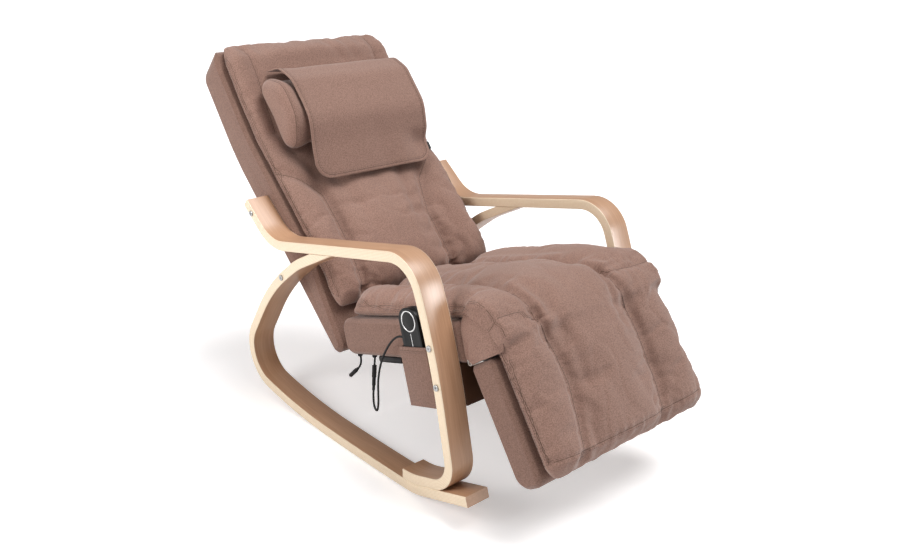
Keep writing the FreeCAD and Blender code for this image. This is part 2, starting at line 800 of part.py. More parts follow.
neckHigh = Part.makeCylinder(size.screw_neck_dia / 2, size.rod_bed - 1, vec(0, screwEnd, size.rod_level), yAxis)
keep(solid_of("lead_screw", thread.fuse([neckLow, neckHigh]).removeSplitter(), backFrame))

plateLow = size.rod_level - size.carriage_thick / 2
plateTop = size.rod_level + size.carriage_thick / 2
plate = box("carriage_plate", "2 * sizes.carriage_half", "sizes.carriage_long", "sizes.carriage_thick",
            in_frame(backFrame, -size.carriage_half, size.carriage_at - size.carriage_long / 2, plateLow))
runs = [(-size.rod_x, size.rod_dia), (size.rod_x, size.rod_dia), (0, size.screw_dia)]
carriageBores = []
for number, (x, dia) in enumerate(runs):
    boreCell = "sizes.rod_dia" if x else "sizes.screw_dia"
    carriageBores.append(cylinder("carriage_bore_%d" % number, boreCell + " / 2 + sizes.slide_play",
                                  "sizes.carriage_long",
                                  in_frame(backFrame, x, size.carriage_at - size.carriage_long / 2, size.rod_level),
                                  yAxis))
boredPlate = cut("bored_plate", plate, carriageBores)
hubHigh = size.carriage_thick / 2
shafts = [cylinder("head_shaft_%d" % i, "sizes.head_shaft_dia / 2", "sizes.carriage_thick / 2",
                   in_frame(backFrame, x, size.carriage_at, plateTop))
          for i, x in enumerate((-size.head_x, size.head_x))]
carriage = doc.addObject("Part::MultiFuse", "carriage")
carriage.Shapes = [boredPlate] + shafts
keep(carriage)
keep(cylinder("massage_motor", "sizes.massage_motor_dia / 2", "sizes.massage_motor_long",
              in_frame(backFrame, 0, size.carriage_at - size.massage_motor_long / 2,
                       plateTop + size.massage_motor_dia / 2), yAxis))


def massage_head():
    base = size.head_gap
    head = Part.makeBox(size.head_hub_dia, 2 * size.head_reach, hubHigh,
                        vec(-size.head_hub_dia / 2, -size.head_reach, base))
    radius = size.head_knob_dia / 2
    for y in (-size.head_reach, size.head_reach):
        stalk = Part.makeCylinder(radius, 1.6 * hubHigh, vec(0, y, base + hubHigh - size.head_plate))
        head = head.fuse(stalk)
    bore = Part.makeCylinder(size.head_shaft_dia / 2 + size.slide_play, hubHigh + 0.2, vec(0, 0, base - 0.2))
    return head.cut(bore).removeSplitter()


for side, x in (("right", -size.head_x), ("left", size.head_x)):
    keep(solid_of("massage_head_" + side, massage_head(),
                  in_frame(backFrame, x, size.carriage_at, plateTop)))

# Remote control, upright in a fabric pocket sewn to the right side of the seat

pocketOuter = -inner - 2 * size.pocket_wall - size.remote_thick - 2 * size.pocket_play
remoteFace = pocketOuter + size.pocket_wall + size.pocket_play
remoteLow = size.remote_at - size.remote_wide / 2
pocketBlock = box("pocket_block", "sizes.remote_thick + 2 * sizes.pocket_wall + 2 * sizes.pocket_play",
                  "sizes.pocket_wide", "sizes.pocket_top - sizes.pocket_low",
                  in_frame(seatFrame, pocketOuter, size.remote_at - size.pocket_wide / 2, size.pocket_low))
pocketBay = box("pocket_bay", "sizes.remote_thick + 2 * sizes.pocket_play",
                "sizes.pocket_wide - 2 * sizes.pocket_wall", "sizes.pocket_top - sizes.pocket_floor + 1",
                in_frame(seatFrame, pocketOuter + size.pocket_wall,
                         size.remote_at - size.pocket_wide / 2 + size.pocket_wall, size.pocket_floor))
keep(cut("remote_pocket", pocketBlock, [pocketBay]))

remoteTop = size.remote_low + size.remote_long
remoteOutline = round_outline(
    [(remoteLow, size.remote_low), (remoteLow + size.remote_wide, size.remote_low),
     (remoteLow + size.remote_wide, remoteTop), (remoteLow, remoteTop)],
    [10, 10, size.remote_round, size.remote_round])
coverBack = remoteFace + size.remote_cover_thick
caseBody = padded("remote_case", remoteOutline, "sizes.remote_thick - sizes.remote_cover_thick", seatFrame, coverBack)
keep(caseBody)
coverBody = padded("remote_cover_body", remoteOutline, "sizes.remote_cover_thick", seatFrame, remoteFace)
ringDeep = size.remote_cover_thick * 0.6
ringBed = cylinder("ring_bed", "sizes.remote_ring_dia / 2", "sizes.remote_cover_thick * 0.6",
                   in_frame(seatFrame, remoteFace, size.remote_at, size.remote_dial_at), xAxis)
lineLong = size.remote_dial_at - size.remote_ring_dia / 2 - size.remote_low - 15
lineFrame = in_frame(seatFrame, remoteFace, size.remote_at - size.remote_line_wide / 2, size.remote_low + 12)
lineBed = box("line_bed", "sizes.remote_line_deep", "sizes.remote_line_wide", str(lineLong), lineFrame)
keep(cut("remote_cover", coverBody, [ringBed, lineBed]))
keep(box("remote_line", "sizes.remote_line_deep", "sizes.remote_line_wide", str(lineLong), lineFrame))
dialRadius = size.remote_ring_dia / 2 - size.remote_ring_wide
ringLength = size.remote_ring_proud + ringDeep
ringShape = Part.makeCylinder(size.remote_ring_dia / 2, ringLength, vec(0, 0, 0), xAxis).cut(
    Part.makeCylinder(dialRadius, ringLength, vec(0, 0, 0), xAxis))
keep(solid_of("remote_ring", ringShape,
              in_frame(seatFrame, remoteFace - size.remote_ring_proud, size.remote_at, size.remote_dial_at)))
dialDeep = ringDeep - size.remote_dial_travel - 0.2
keep(cylinder("remote_dial", "sizes.remote_ring_dia / 2 - sizes.remote_ring_wide - 0.1", str(dialDeep),
              in_frame(seatFrame, remoteFace, size.remote_at, size.remote_dial_at), xAxis))

# Control box and cord glands under the seat

boxAt = size.seat_length - size.bracket_seat_run - size.box_clear - size.box_long
keep(box("control_box", "sizes.box_wide", "sizes.box_long", "sizes.box_high",
         in_frame(seatFrame, -inner + 6, boxAt, -size.box_high)))


def gland(at):
    base = in_frame(seatFrame, size.gland_in - inner, size.seat_length - at, -size.gland_long)
    nut = Part.makeCylinder(size.gland_dia / 2, size.gland_long)
    nut.Placement = base
    return nut, base.Base


remoteGland, remoteGlandEnd = gland(size.remote_gland_in)
supplyGland, supplyGlandEnd = gland(size.supply_gland_in)
keep(solid_of("cord_glands", Part.makeCompound([remoteGland, supplyGland])))

# Cords: tubes along straight runs and tangent arcs, each arc as large as its runs allow

reliefLong = 8
remoteCordPoints = [vec(x - inner, y, z) for x, y, z in (
    (-14.5, -214, 337), (-18, -187, 348), (-21, -121, 236), (-11, -113, 107), (0, -75, 107), (3, -74, 148))]
boxCordPoints = [vec(12 - inner, -67, 208)]
cordAxis = (remoteCordPoints[1] - remoteCordPoints[0]).normalize()
reliefEnd = remoteCordPoints[0] - cordAxis * 0.3
reliefStart = reliefEnd - cordAxis * reliefLong


def tube(label, points):
    path = []
    start = points[0]
    radii = []
    for before, corner, after in zip(points, points[1:], points[2:]):
        a = (before - corner)
        b = (after - corner)
        reach = 0.45 * min(a.Length, b.Length)
        halfTurn = (math.pi - a.getAngle(b)) / 2
        radii.append(reach / math.tan(halfTurn))
        p = corner + a.normalize() * reach
        q = corner + b.normalize() * reach
        bisector = (a + b).normalize()
        middle = corner + bisector * (radii[-1] / math.cos(halfTurn) - radii[-1])
        path.append(Part.LineSegment(start, p).toShape())
        path.append(Part.Arc(p, middle, q).toShape())
        start = q
    path.append(Part.LineSegment(start, points[-1]).toShape())
    route = Part.Wire(path)
    radius = size.cord_dia / 2
    turned = FreeCAD.Rotation(xAxis, points[1] - points[0])
    ring = [points[0] + turned.multVec(vec(0, radius * math.cos(a), radius * math.sin(a)))
            for a in (math.radians(45 * i) for i in range(9))]
    section = Part.Face(Part.makePolygon(ring))
    shape = route.makePipe(section)
    print(label, "length", round(route.Length, 1), "radii", [round(r, 1) for r in radii],
          "volume ratio", round(shape.Volume / (section.Area * route.Length), 4))
    return keep(solid_of(label, shape))


connectorLow = remoteCordPoints[-1]
connectorHigh = boxCordPoints[0]
supplyPoints = [supplyGlandEnd, supplyGlandEnd + vec(0, -6.5, -20), supplyGlandEnd + vec(-2, 8, -35.5)]
socketStart = supplyPoints[-1]
tube("remote_cord", remoteCordPoints)
tube("box_cord", boxCordPoints + [remoteGlandEnd])
tube("supply_lead", supplyPoints)


def barrel(start, end, lengths, dias):
    axis = (end - start).normalize()
    shapes = []
    point = start
    for length, dia in zip(lengths, dias):
        shapes.append(Part.makeCylinder(dia / 2, length, point, axis))
        point = point + axis * length
    return shapes[0].fuse(shapes[1:]).removeSplitter()


span = (connectorHigh - connectorLow).Length
keep(solid_of("cord_connector", barrel(
    connectorLow, connectorHigh, [0.2 * span, 0.33 * span, 0.47 * span],
    [size.cord_dia + 2, size.connector_dia - 1, size.connector_dia + 1])))
socketAxis = vec(-0.08, 0.68, -0.73).normalize()
socketEnd = socketStart + socketAxis * 40
keep(solid_of("supply_socket", barrel(socketStart, socketEnd, [9, 31],
                                      [size.cord_dia + 2, size.connector_dia])))
relief = Part.makeCylinder(size.cord_dia / 2 + 1.4, reliefLong, reliefStart, cordAxis)
relief = relief.cut(caseBody.Shape).cut(coverBody.Shape)
keep(solid_of("cord_relief", relief))

doc.recompute()
failed = [obj.Name for obj in doc.Objects if "Invalid" in obj.State or "Error" in obj.State]
if failed:
    raise RuntimeError("failed objects: " + ", ".join(failed))
for node in nodes:
    if node.Shape.isNull() or not node.Shape.isValid():
        raise RuntimeError("bad shape: " + node.Label)
total = FreeCAD.BoundBox()
for node in nodes:
    total.add(node.Shape.BoundBox)
    node.Shape.exportStep("parts/%s.step" % node.Label)
print("nodes", len(nodes), "box", [round(v, 1) for v in (total.XMin, total.XMax, total.YMin, total.YMax,
                                                          total.ZMin, total.ZMax)])
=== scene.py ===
import math

import bpy
import numpy as np
from mathutils import Matrix, Vector, noise
from mathutils.bvhtree import BVHTree


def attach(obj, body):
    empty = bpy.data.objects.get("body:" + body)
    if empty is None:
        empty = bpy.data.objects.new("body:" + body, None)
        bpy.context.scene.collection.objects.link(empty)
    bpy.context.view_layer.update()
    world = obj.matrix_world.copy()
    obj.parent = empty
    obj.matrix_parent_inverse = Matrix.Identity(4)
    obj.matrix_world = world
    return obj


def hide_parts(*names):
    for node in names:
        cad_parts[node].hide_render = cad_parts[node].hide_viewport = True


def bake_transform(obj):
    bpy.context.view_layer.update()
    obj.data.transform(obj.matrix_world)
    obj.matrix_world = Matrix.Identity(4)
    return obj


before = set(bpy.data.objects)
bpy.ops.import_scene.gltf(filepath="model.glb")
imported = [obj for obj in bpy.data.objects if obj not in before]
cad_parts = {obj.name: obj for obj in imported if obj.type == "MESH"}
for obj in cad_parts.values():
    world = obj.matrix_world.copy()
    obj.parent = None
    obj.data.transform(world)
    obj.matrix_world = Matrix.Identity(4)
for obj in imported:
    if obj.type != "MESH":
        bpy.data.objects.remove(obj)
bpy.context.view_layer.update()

scene = bpy.context.scene

# Where the chair's main surfaces lie: a point in the side view (y, z) and the tilt of each surface
planes = {
    "seat": {"origin": (-0.392, 0.340), "tilt": -18.0},   # along runs to the rear, out is up
    "back": {"origin": (0.232, 0.329), "tilt": 42.6},     # along runs up the back, out is to the front
    "foot": {"origin": (-0.3977, 0.34185), "tilt": 54.9},  # along runs up to the hinge, out is to the front
    "pillow": {"origin": (0.450, 0.6683), "tilt": 48.885},
}

def sidePoint(plane, along, out):
    origin = planes[plane]["origin"]
    tilt = math.radians(planes[plane]["tilt"])
    y = origin[0] + along * math.cos(tilt) - out * math.sin(tilt)
    z = origin[1] + along * math.sin(tilt) + out * math.cos(tilt)
    return (y, z)

# Small helpers for working on one object at a time

def pickOnly(obj):
    bpy.ops.object.select_all(action="DESELECT")
    obj.select_set(True)
    bpy.context.view_layer.objects.active = obj

def addModifier(obj, kind, **settings):
    modifier = obj.modifiers.new(kind.lower(), kind)
    for name, value in settings.items():
        setattr(modifier, name, value)
    return modifier

def applyModifier(obj, kind, **settings):
    pickOnly(obj)
    modifier = addModifier(obj, kind, **settings)
    bpy.ops.object.modifier_apply(modifier=modifier.name)

def newMesh(name, vertices, faces):
    mesh = bpy.data.meshes.new(name)
    mesh.from_pydata(vertices, [], faces)
    mesh.update()
    obj = bpy.data.objects.new(name, mesh)
    scene.collection.objects.link(obj)
    return obj

def editAll(obj, *steps):
    pickOnly(obj)
    bpy.ops.object.mode_set(mode="EDIT")
    bpy.ops.mesh.select_all(action="SELECT")
    for step, settings in steps:
        step(**settings)
    bpy.ops.object.mode_set(mode="OBJECT")

copySet = {"merge": 0.00002, "flat": 0.6}  # points this near are merged, faces within this many degrees joined

def copyNode(source, name):
    obj = bpy.data.objects.new(name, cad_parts[source].data.copy())
    obj.data.materials.clear()
    scene.collection.objects.link(obj)
    editAll(obj, (bpy.ops.mesh.remove_doubles, {"threshold": copySet["merge"]}),
            (bpy.ops.mesh.dissolve_limited, {"angle_limit": math.radians(copySet["flat"])}))
    return obj

def smooth(obj, degrees=40):
    pickOnly(obj)
    bpy.ops.object.shade_smooth_by_angle(angle=math.radians(degrees))

def paint(obj, material):
    obj.data.materials.clear()
    obj.data.materials.append(material)

def settle(obj, body, slot, material, *nodes):
    paint(obj, material)
    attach(obj, body)
    if nodes:
        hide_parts(*nodes)
    return obj

def positions(obj):
    flat = np.empty(3 * len(obj.data.vertices))
    obj.data.vertices.foreach_get("co", flat)
    return flat.reshape(-1, 3)

def setPositions(obj, points):
    obj.data.vertices.foreach_set("co", np.asarray(points, float).ravel())
    obj.data.update()

def normals(obj):
    flat = np.empty(3 * len(obj.data.vertices))
    obj.data.vertex_normals.foreach_get("vector", flat)
    return flat.reshape(-1, 3)

def pushOut(obj, points, amount):
    setPositions(obj, points + normals(obj) * amount[:, None])

def remake(obj, spec):
    applyModifier(obj, "REMESH", mode="VOXEL", voxel_size=spec["voxel"])
    applyModifier(obj, "SMOOTH", factor=0.5, iterations=spec["ease"])

def faceOut(obj):
    editAll(obj, (bpy.ops.mesh.normals_make_consistent, {"inside": False}))

def soften(obj):
    pickOnly(obj)
    bpy.ops.object.shade_smooth()

def loftFaces(rows, count):
    faces = []
    for i in range(rows - 1):
        for j in range(count):
            k = (j + 1) % count
            faces.append((i * count + j, i * count + k, (i + 1) * count + k, (i + 1) * count + j))
    return faces

def treeOf(obj):
    return BVHTree.FromObject(obj, bpy.context.evaluated_depsgraph_get())

def hitOn(tree, origin, ray):
    hit, normal, index, distance = tree.ray_cast(origin, ray)
    return (hit, normal) if hit is not None else None

def node(tree, kind, values=None, **settings):
    item = tree.nodes.new("ShaderNode" + kind)
    for name, value in settings.items():
        setattr(item, name, value)
    for name, value in (values or {}).items():
        if isinstance(value, bpy.types.NodeSocket):
            tree.links.new(value, item.inputs[name])
        else:
            item.inputs[name].default_value = value
    return item

def mixColor(tree, share, first, second):
    return node(tree, "Mix", {0: share, 6: first, 7: second}, data_type="RGBA").outputs[2]

def mathNode(tree, operation, first, second=0.0):
    return node(tree, "Math", {0: first, 1: second}, operation=operation).outputs[0]

def setSockets(shader, values):
    for label, value in values.items():
        shader.inputs[label].default_value = value

# Camera and studio light
cameraSet = {
    "place": (-1.46299, -1.66463, 1.21760),
    "right": (0.742809, -0.669143, 0.021977),
    "up": (0.228090, 0.283789, 0.931364),
    "lens": 37.288, "sensor": 36, "clip": 50,
}
camera = bpy.data.objects.new("camera", bpy.data.cameras.new("camera"))
scene.collection.objects.link(camera)
right = Vector(cameraSet["right"]).normalized()
up = Vector(cameraSet["up"]).normalized()
turn = Matrix((right, up, right.cross(up))).transposed()
camera.matrix_world = Matrix.Translation(cameraSet["place"]) @ turn.to_4x4()
camera.data.sensor_width = cameraSet["sensor"]
camera.data.lens = cameraSet["lens"]
camera.data.clip_end = cameraSet["clip"]
scene.camera = camera

lightSet = {
    "overhead": {"kind": "SUN", "place": (1.05, -0.70, 2.9), "aim": (0, 0, 0), "power": 2.7, "spread": 34},
    "side": {"kind": "AREA", "place": (-2.8, 0.7, 1.7), "aim": (0, 0.2, 0.5), "power": 56, "spread": 1.6,
             "beam": 180},
    "front": {"kind": "AREA", "place": (-0.3, -1.3, 2.6), "aim": (0, 0.38, 0.68), "power": 1.2, "spread": 0.8,
              "beam": 64},
    "gleam": {"kind": "AREA", "place": (1.25, -2.28, 0.98), "aim": (-0.3, -0.33, 0.42), "power": 64, "spread": 0.9,
              "beam": 180},
}
for name, spec in lightSet.items():
    light = bpy.data.lights.new(name, spec["kind"])
    light.energy = spec["power"]
    if spec["kind"] == "SUN":
        light.angle = math.radians(spec["spread"])
    else:
        light.size = spec["spread"]
        light.spread = math.radians(spec["beam"])
    lamp = bpy.data.objects.new(name, light)
    lamp.location = spec["place"]
    lamp.rotation_euler = (Vector(spec["aim"]) - Vector(spec["place"])).to_track_quat("-Z", "Y").to_euler()
    lamp.visible_camera = False
    lamp.visible_diffuse = name != "gleam"  # the gleam only shows in the lacquer and the metal
    scene.collection.objects.link(lamp)
worldSet = {"color": (1.0, 0.99, 0.985, 1), "light": 0.27, "backdrop": 1.0}
world = bpy.data.worlds.new("studio")
world.use_nodes = True
air = world.node_tree
fill, backdrop = air.nodes["Background"], node(air, "Background")
for item, kind in ((fill, "light"), (backdrop, "backdrop")):
    setSockets(item, {"Color": worldSet["color"], "Strength": worldSet[kind]})
seen = node(air, "LightPath").outputs["Is Camera Ray"]
both = node(air, "MixShader", {0: seen, 1: fill.outputs[0], 2: backdrop.outputs[0]})
air.links.new(both.outputs[0], air.nodes["World Output"].inputs["Surface"])
scene.world = world
scene.view_settings.view_transform = "Standard"
print("camera and light are set")

# Shader parts

def noiseNode(tree, vector, scale, detail, **more):
    values = {"Vector": vector, "Scale": scale, "Detail": detail, **more}
    return node(tree, "TexNoise", values).outputs["Fac"]

def rangeNode(tree, value, way, low, high):
    values = {"Value": value, way + " Min": low, way + " Max": high}
    return node(tree, "MapRange", values).outputs["Result"]

def newGroup(name, inputs):
    tree = bpy.data.node_groups.new(name, "ShaderNodeTree")
    outputs = {"Color": "Color", "Height": "Float", "Roughness": "Float"}
    for way, sockets in (("INPUT", inputs), ("OUTPUT", outputs)):
        for label, kind in sockets.items():
            tree.interface.new_socket(name=label, in_out=way, socket_type="NodeSocket" + kind)
    return tree, tree.nodes.new("NodeGroupInput").outputs, tree.nodes.new("NodeGroupOutput")

def putOut(tree, result, color, height, rough):
    for label, value in (("Color", color), ("Height", height), ("Roughness", rough)):
        tree.links.new(value, result.inputs[label])

def makeWeaveGroup():
    tree, given, result = newGroup("woven cloth", {"Vector": "Vector", "Light": "Color", "Dark": "Color",
                                                   "Threads": "Float"})
    vector = given["Vector"]
    heather = noiseNode(tree, vector, 420.0, 3.0, Roughness=0.7)
    patches = noiseNode(tree, vector, 22.0, 3.0)
    threads = {"Vector": vector, "Scale": given["Threads"], "Distortion": 1.2, "Detail": 1.0}
    weft, warp = (node(tree, "TexWave", threads, bands_direction=way).outputs["Fac"] for way in "XZ")
    flecks = rangeNode(tree, heather, "From", 0.36, 0.66)
    tint = mathNode(tree, "MULTIPLY_ADD", patches, 0.5)
    share = mathNode(tree, "MULTIPLY", flecks, mathNode(tree, "ADD", tint, 0.45))
    color = mixColor(tree, share, given["Dark"], given["Light"])
    weave = mathNode(tree, "MULTIPLY", weft, warp)
    height = mathNode(tree, "ADD", mathNode(tree, "MULTIPLY", weave, 0.6), heather)
    putOut(tree, result, color, height, rangeNode(tree, heather, "To", 0.98, 0.82))
    return tree

def makeGrainGroup():
    tree, given, result = newGroup("birch grain", {"Vector": "Vector", "Light": "Color", "Dark": "Color"})
    long, broad = (node(tree, "Mapping", {"Vector": given["Vector"], "Scale": scale}).outputs[0]
                   for scale in ((3.0, 90.0, 90.0), (1.6, 14.0, 14.0)))
    streaks = noiseNode(tree, long, 3.0, 5.0, Roughness=0.65)
    figure = noiseNode(tree, broad, 1.6, 3.0, Distortion=0.8)
    share = mathNode(tree, "ADD", mathNode(tree, "MULTIPLY", streaks, 0.6),
                     mathNode(tree, "MULTIPLY", figure, 0.55))
    color = mixColor(tree, rangeNode(tree, share, "From", 0.4, 0.75), given["Dark"], given["Light"])
    putOut(tree, result, color, streaks, rangeNode(tree, streaks, "To", 0.36, 0.5))
    return tree

def makeMouldGroup():
    tree, given, result = newGroup("moulded surface", {"Vector": "Vector", "Color": "Color", "Grain": "Float",
                                                       "Roughness": "Float"})
    fine, soft = (noiseNode(tree, given["Vector"], scale, 2.0) for scale in (given["Grain"], 30.0))
    shade = rangeNode(tree, soft, "To", 0.8, 1.2)
    color = node(tree, "VectorMath", {0: given["Color"], 1: shade}, operation="MULTIPLY")
    change = mathNode(tree, "MULTIPLY", mathNode(tree, "SUBTRACT", fine, 0.5), 0.25)
    putOut(tree, result, color.outputs[0], fine, mathNode(tree, "ADD", given["Roughness"], change))
    return tree

weaveGroup, grainGroup, mouldGroup = makeWeaveGroup(), makeGrainGroup(), makeMouldGroup()

def newMaterial(name):
    material = bpy.data.materials.new(name)
    material.use_nodes = True
    return material, material.node_tree, material.node_tree.nodes["Principled BSDF"]

def useSurface(tree, shader, color, group, strength, distance):
    bump = node(tree, "Bump", {"Height": group.outputs["Height"], "Strength": strength,
                                         "Distance": distance})
    tree.links.new(color, shader.inputs["Base Color"])
    tree.links.new(group.outputs["Roughness"], shader.inputs["Roughness"])
    tree.links.new(bump.outputs["Normal"], shader.inputs["Normal"])

def groupMaterial(name, groupTree, given, values, strength, distance):
    material, tree, shader = newMaterial(name)
    place = node(tree, "TexCoord").outputs["Object"]
    group = node(tree, "Group", {"Vector": place, **given}, node_tree=groupTree)
    useSurface(tree, shader, group.outputs["Color"], group, strength, distance)
    setSockets(shader, values)
    return material

def clothMaterial(name, light, dark, threads=260.0):
    given = {"Light": (*light, 1), "Dark": (*dark, 1), "Threads": threads}
    values = {"Sheen Weight": 0.25, "Sheen Roughness": 0.5, "Specular IOR Level": 0.2}
    return groupMaterial(name, weaveGroup, given, values, strength=0.35, distance=0.0006)

def mouldMaterial(name, color, roughness, grain=900.0, metallic=0.0, strength=0.15):
    given = {"Color": (*color, 1), "Grain": grain, "Roughness": roughness}
    values = {"Metallic": metallic, "Specular IOR Level": 0.22}
    return groupMaterial(name, mouldGroup, given, values, strength, distance=0.0004)

birchSet = {"light": (0.56, 0.330, 0.198, 1), "dark": (0.42, 0.226, 0.126, 1), "edgeFrom": 0.0292, "plies": 100.0,
            "glueLine": (0.70, 0.51, 0.33, 1), "pale": ((0.80, 0.64, 0.45, 1), (0.90, 0.76, 0.58, 1)),
            "lacquer": {"Coat Weight": 0.4, "Coat Roughness": 0.32}}

def birchMaterial():
    material, tree, shader = newMaterial("birch ply")
    strip = node(tree, "Attribute", attribute_name="stripCoord").outputs["Vector"]
    parts = node(tree, "SeparateXYZ", {"Vector": strip}).outputs
    group = node(tree, "Group", {"Vector": strip, "Light": birchSet["light"], "Dark": birchSet["dark"]},
                 node_tree=grainGroup)
    edge = mathNode(tree, "GREATER_THAN", mathNode(tree, "ABSOLUTE", parts["Y"]), birchSet["edgeFrom"])
    through = node(tree, "CombineXYZ", {"X": parts["Z"]}).outputs[0]
    plies = node(tree, "TexWave", {"Vector": through, "Scale": birchSet["plies"], "Distortion": 0.0},
                 bands_direction="X")
    line = rangeNode(tree, plies.outputs["Fac"], "From", 0.0, 0.35)
    pale = mixColor(tree, noiseNode(tree, strip, 160.0, 2.0), *birchSet["pale"])
    layered = mixColor(tree, line, birchSet["glueLine"], pale)
    color = mixColor(tree, edge, group.outputs["Color"], layered)
    useSurface(tree, shader, color, group, strength=0.08, distance=0.0005)
    setSockets(shader, birchSet["lacquer"])
    return material

finish = {
    "pad": clothMaterial("brown pad cloth", (0.338, 0.202, 0.158), (0.214, 0.122, 0.093)),
    # the cover cloth is the pad cloth made darker: painted shade for the panel sides, the pocket and the knee fold
    "cover": clothMaterial("pad cloth darkened as painted shade", (0.262, 0.152, 0.116), (0.162, 0.090, 0.067)),
    "thread": clothMaterial("dark seam thread", (0.120, 0.066, 0.046), (0.075, 0.040, 0.028), 900.0),
    "tag": clothMaterial("plain dark tag", (0.030, 0.028, 0.028), (0.016, 0.015, 0.015), 700.0),
    "birch": birchMaterial(),
    # the rail's near-black brown is painted shade: the dark of a rail lying in the seat's shadow, not a stain of its
    # own
    "rail": mouldMaterial("rail darkened as painted shade", (0.060, 0.025, 0.012), 0.45, 300.0),
    "steel": mouldMaterial("zinc bolts", (0.46, 0.46, 0.46), 0.34, 500.0, 1.0),
    "pale steel": mouldMaterial("zinc hinge", (0.74, 0.73, 0.70), 0.4, 500.0, 0.6),
    "black metal": mouldMaterial("black paint", (0.03, 0.03, 0.03), 0.5, 700.0),
    "black plastic": mouldMaterial("black moulding", (0.014, 0.013, 0.014), 0.42, 1200.0),
    "gloss black": mouldMaterial("black gloss", (0.004, 0.004, 0.004), 0.34, 200.0, 0.0, 0.03),
    "silver": mouldMaterial("satin silver", (0.72, 0.72, 0.72), 0.25, 600.0, 1.0),
    "jacket": mouldMaterial("cord jacket", (0.016, 0.016, 0.017), 0.5, 900.0),
}

floorSet = {"size": 60.0, "color": (0.90, 0.89, 0.89), "roughness": 0.8, "drop": 0.0005,
            "lift": 0.42}  # the camera sees the floor this much lighter
bpy.ops.object.select_all(action="DESELECT")
bpy.ops.mesh.primitive_plane_add(size=floorSet["size"], location=(0, 0, -floorSet["drop"]))
floor = bpy.context.active_object
floor.name = "floor"
floorPaint, floorTree, floorShader = newMaterial("pale floor")
floorColor = (*floorSet["color"], 1)
setSockets(floorShader, {"Base Color": floorColor, "Emission Color": floorColor, "Roughness": floorSet["roughness"]})
seen = node(floorTree, "LightPath").outputs["Is Camera Ray"]
lift = mathNode(floorTree, "MULTIPLY", seen, floorSet["lift"])
floorTree.links.new(lift, floorShader.inputs["Emission Strength"])
paint(floor, floorPaint)
print("finishes and floor are made")

# Cords: the routes of the solids, as smooth lines
cordSet = {
    "diameter": 0.005, "steps": 24, "sides": 4,
    "points": [(-0.2825, -0.214, 0.337), (-0.286, -0.187, 0.348), (-0.289, -0.121, 0.236),
               (-0.279, -0.113, 0.107), (-0.268, -0.075, 0.107), (-0.265, -0.074, 0.148)],
    "stillAt": (-0.283, -0.12, 0.16),  # from here on the cord doesn't follow the remote
}

def newCurve(name, kind, lines):
    curve = bpy.data.curves.new(name, "CURVE")
    curve.dimensions = "3D"
    curve.resolution_u = cordSet["steps"]
    for points in lines:
        spline = curve.splines.new(kind)
        spline.points.add(len(points) - 1)
        for item, point in zip(spline.points, points):
            item.co = (*point, 1)
    obj = bpy.data.objects.new(name, curve)
    scene.collection.objects.link(obj)
    return obj

def linePoints(obj):
    bpy.context.view_layer.update()
    mesh = bpy.data.meshes.new_from_object(obj.evaluated_get(bpy.context.evaluated_depsgraph_get()))
    points = [tuple(v.co) for v in mesh.vertices]
    bpy.data.meshes.remove(mesh)
    return points

def lengthOf(points):
    return sum((Vector(b) - Vector(a)).length for a, b in zip(points, points[1:]))

def cordTube(name, points):
    obj = newCurve(name, "NURBS", [points])
    obj.data.splines[0].order_u = 3
    obj.data.splines[0].use_endpoint_u = True
    path = linePoints(obj)
    obj.data.bevel_depth = cordSet["diameter"] / 2
    obj.data.bevel_resolution = cordSet["sides"]
    obj.data.use_fill_caps = True
    pickOnly(obj)
    bpy.ops.object.convert(target="MESH")
    obj = bpy.context.active_object
    bpy.ops.object.shade_smooth()
    return obj, path

remoteCord, remotePath = cordTube("remoteCord", cordSet["points"])
paint(remoteCord, finish["jacket"])
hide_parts("remote_cord")
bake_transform(remoteCord)
supplySet = {"points": [(-0.250, -0.00423, 0.20665), (-0.250, -0.01073, 0.18665), (-0.252, 0.00377, 0.17115)]}
supplyLead, supplyPath = cordTube("supplyLead", supplySet["points"])
settle(supplyLead, "frame", "cord_rubber", finish["jacket"], "supply_lead")

def roundedCopy(source, name, width, segments=3, angle=30):
    obj = copyNode(source, name)
    applyModifier(obj, "BEVEL", width=width, segments=segments, limit_method="ANGLE",
                  angle_limit=math.radians(angle))
    smooth(obj)
    return obj

hardware = {
    "cord_connector": ("connector", "frame", "black plastic", "remote_matte", 0.0009),
    "supply_socket": ("supplySocket", "frame", "black plastic", "remote_matte", 0.0009),
    "cord_glands": ("glands", "frame", "black plastic", "remote_matte", 0.0012),
    "box_cord": ("boxLead", "frame", "jacket", "cord_rubber", 0.0003),
    "cord_relief": ("cordRelief", "remote", "jacket", "cord_rubber", 0.001),
    "control_box": ("controlBox", "frame", "black plastic", "remote_matte", 0.002),
    "remote_case": ("remoteCase", "remote", "black plastic", "remote_matte", 0.003),
    "remote_cover": ("remoteCover", "remote", "gloss black", "remote_gloss", 0.0012),
    "remote_ring": ("remoteRing", "remote", "silver", "remote_silver", 0.0012),
    "remote_dial": ("remoteDial", "dial", "gloss black", "remote_gloss", 0.0008),
    "frame_bolts": ("frameBolts", "frame", "steel", "bolt_steel", 0.0008),
    "hinge_seat_leaves": ("hingeSeatLeaves", "frame", "pale steel", "hinge_paint", 0.0004),
    "hinge_foot_leaves": ("hingeFootLeaves", "footrest", "pale steel", "hinge_paint", 0.0004),
    # the front rail takes the rail finish, whose dark brown is painted shade
    "front_rail": ("frontRail", "frame", "rail", "rail_wood", 0.003),
    "seat_straps": ("seatStraps", "frame", "black metal", "strap_paint", 0.0008),
}
pieces = {}
for item, (name, body, look, slotName, width) in hardware.items():
    pieces[item] = settle(roundedCopy(item, name, width), body, slotName, finish[look], item)
reliefSet = {"narrow": 0.26}  # the strain relief tapers towards the cord
points = positions(pieces["cord_relief"])
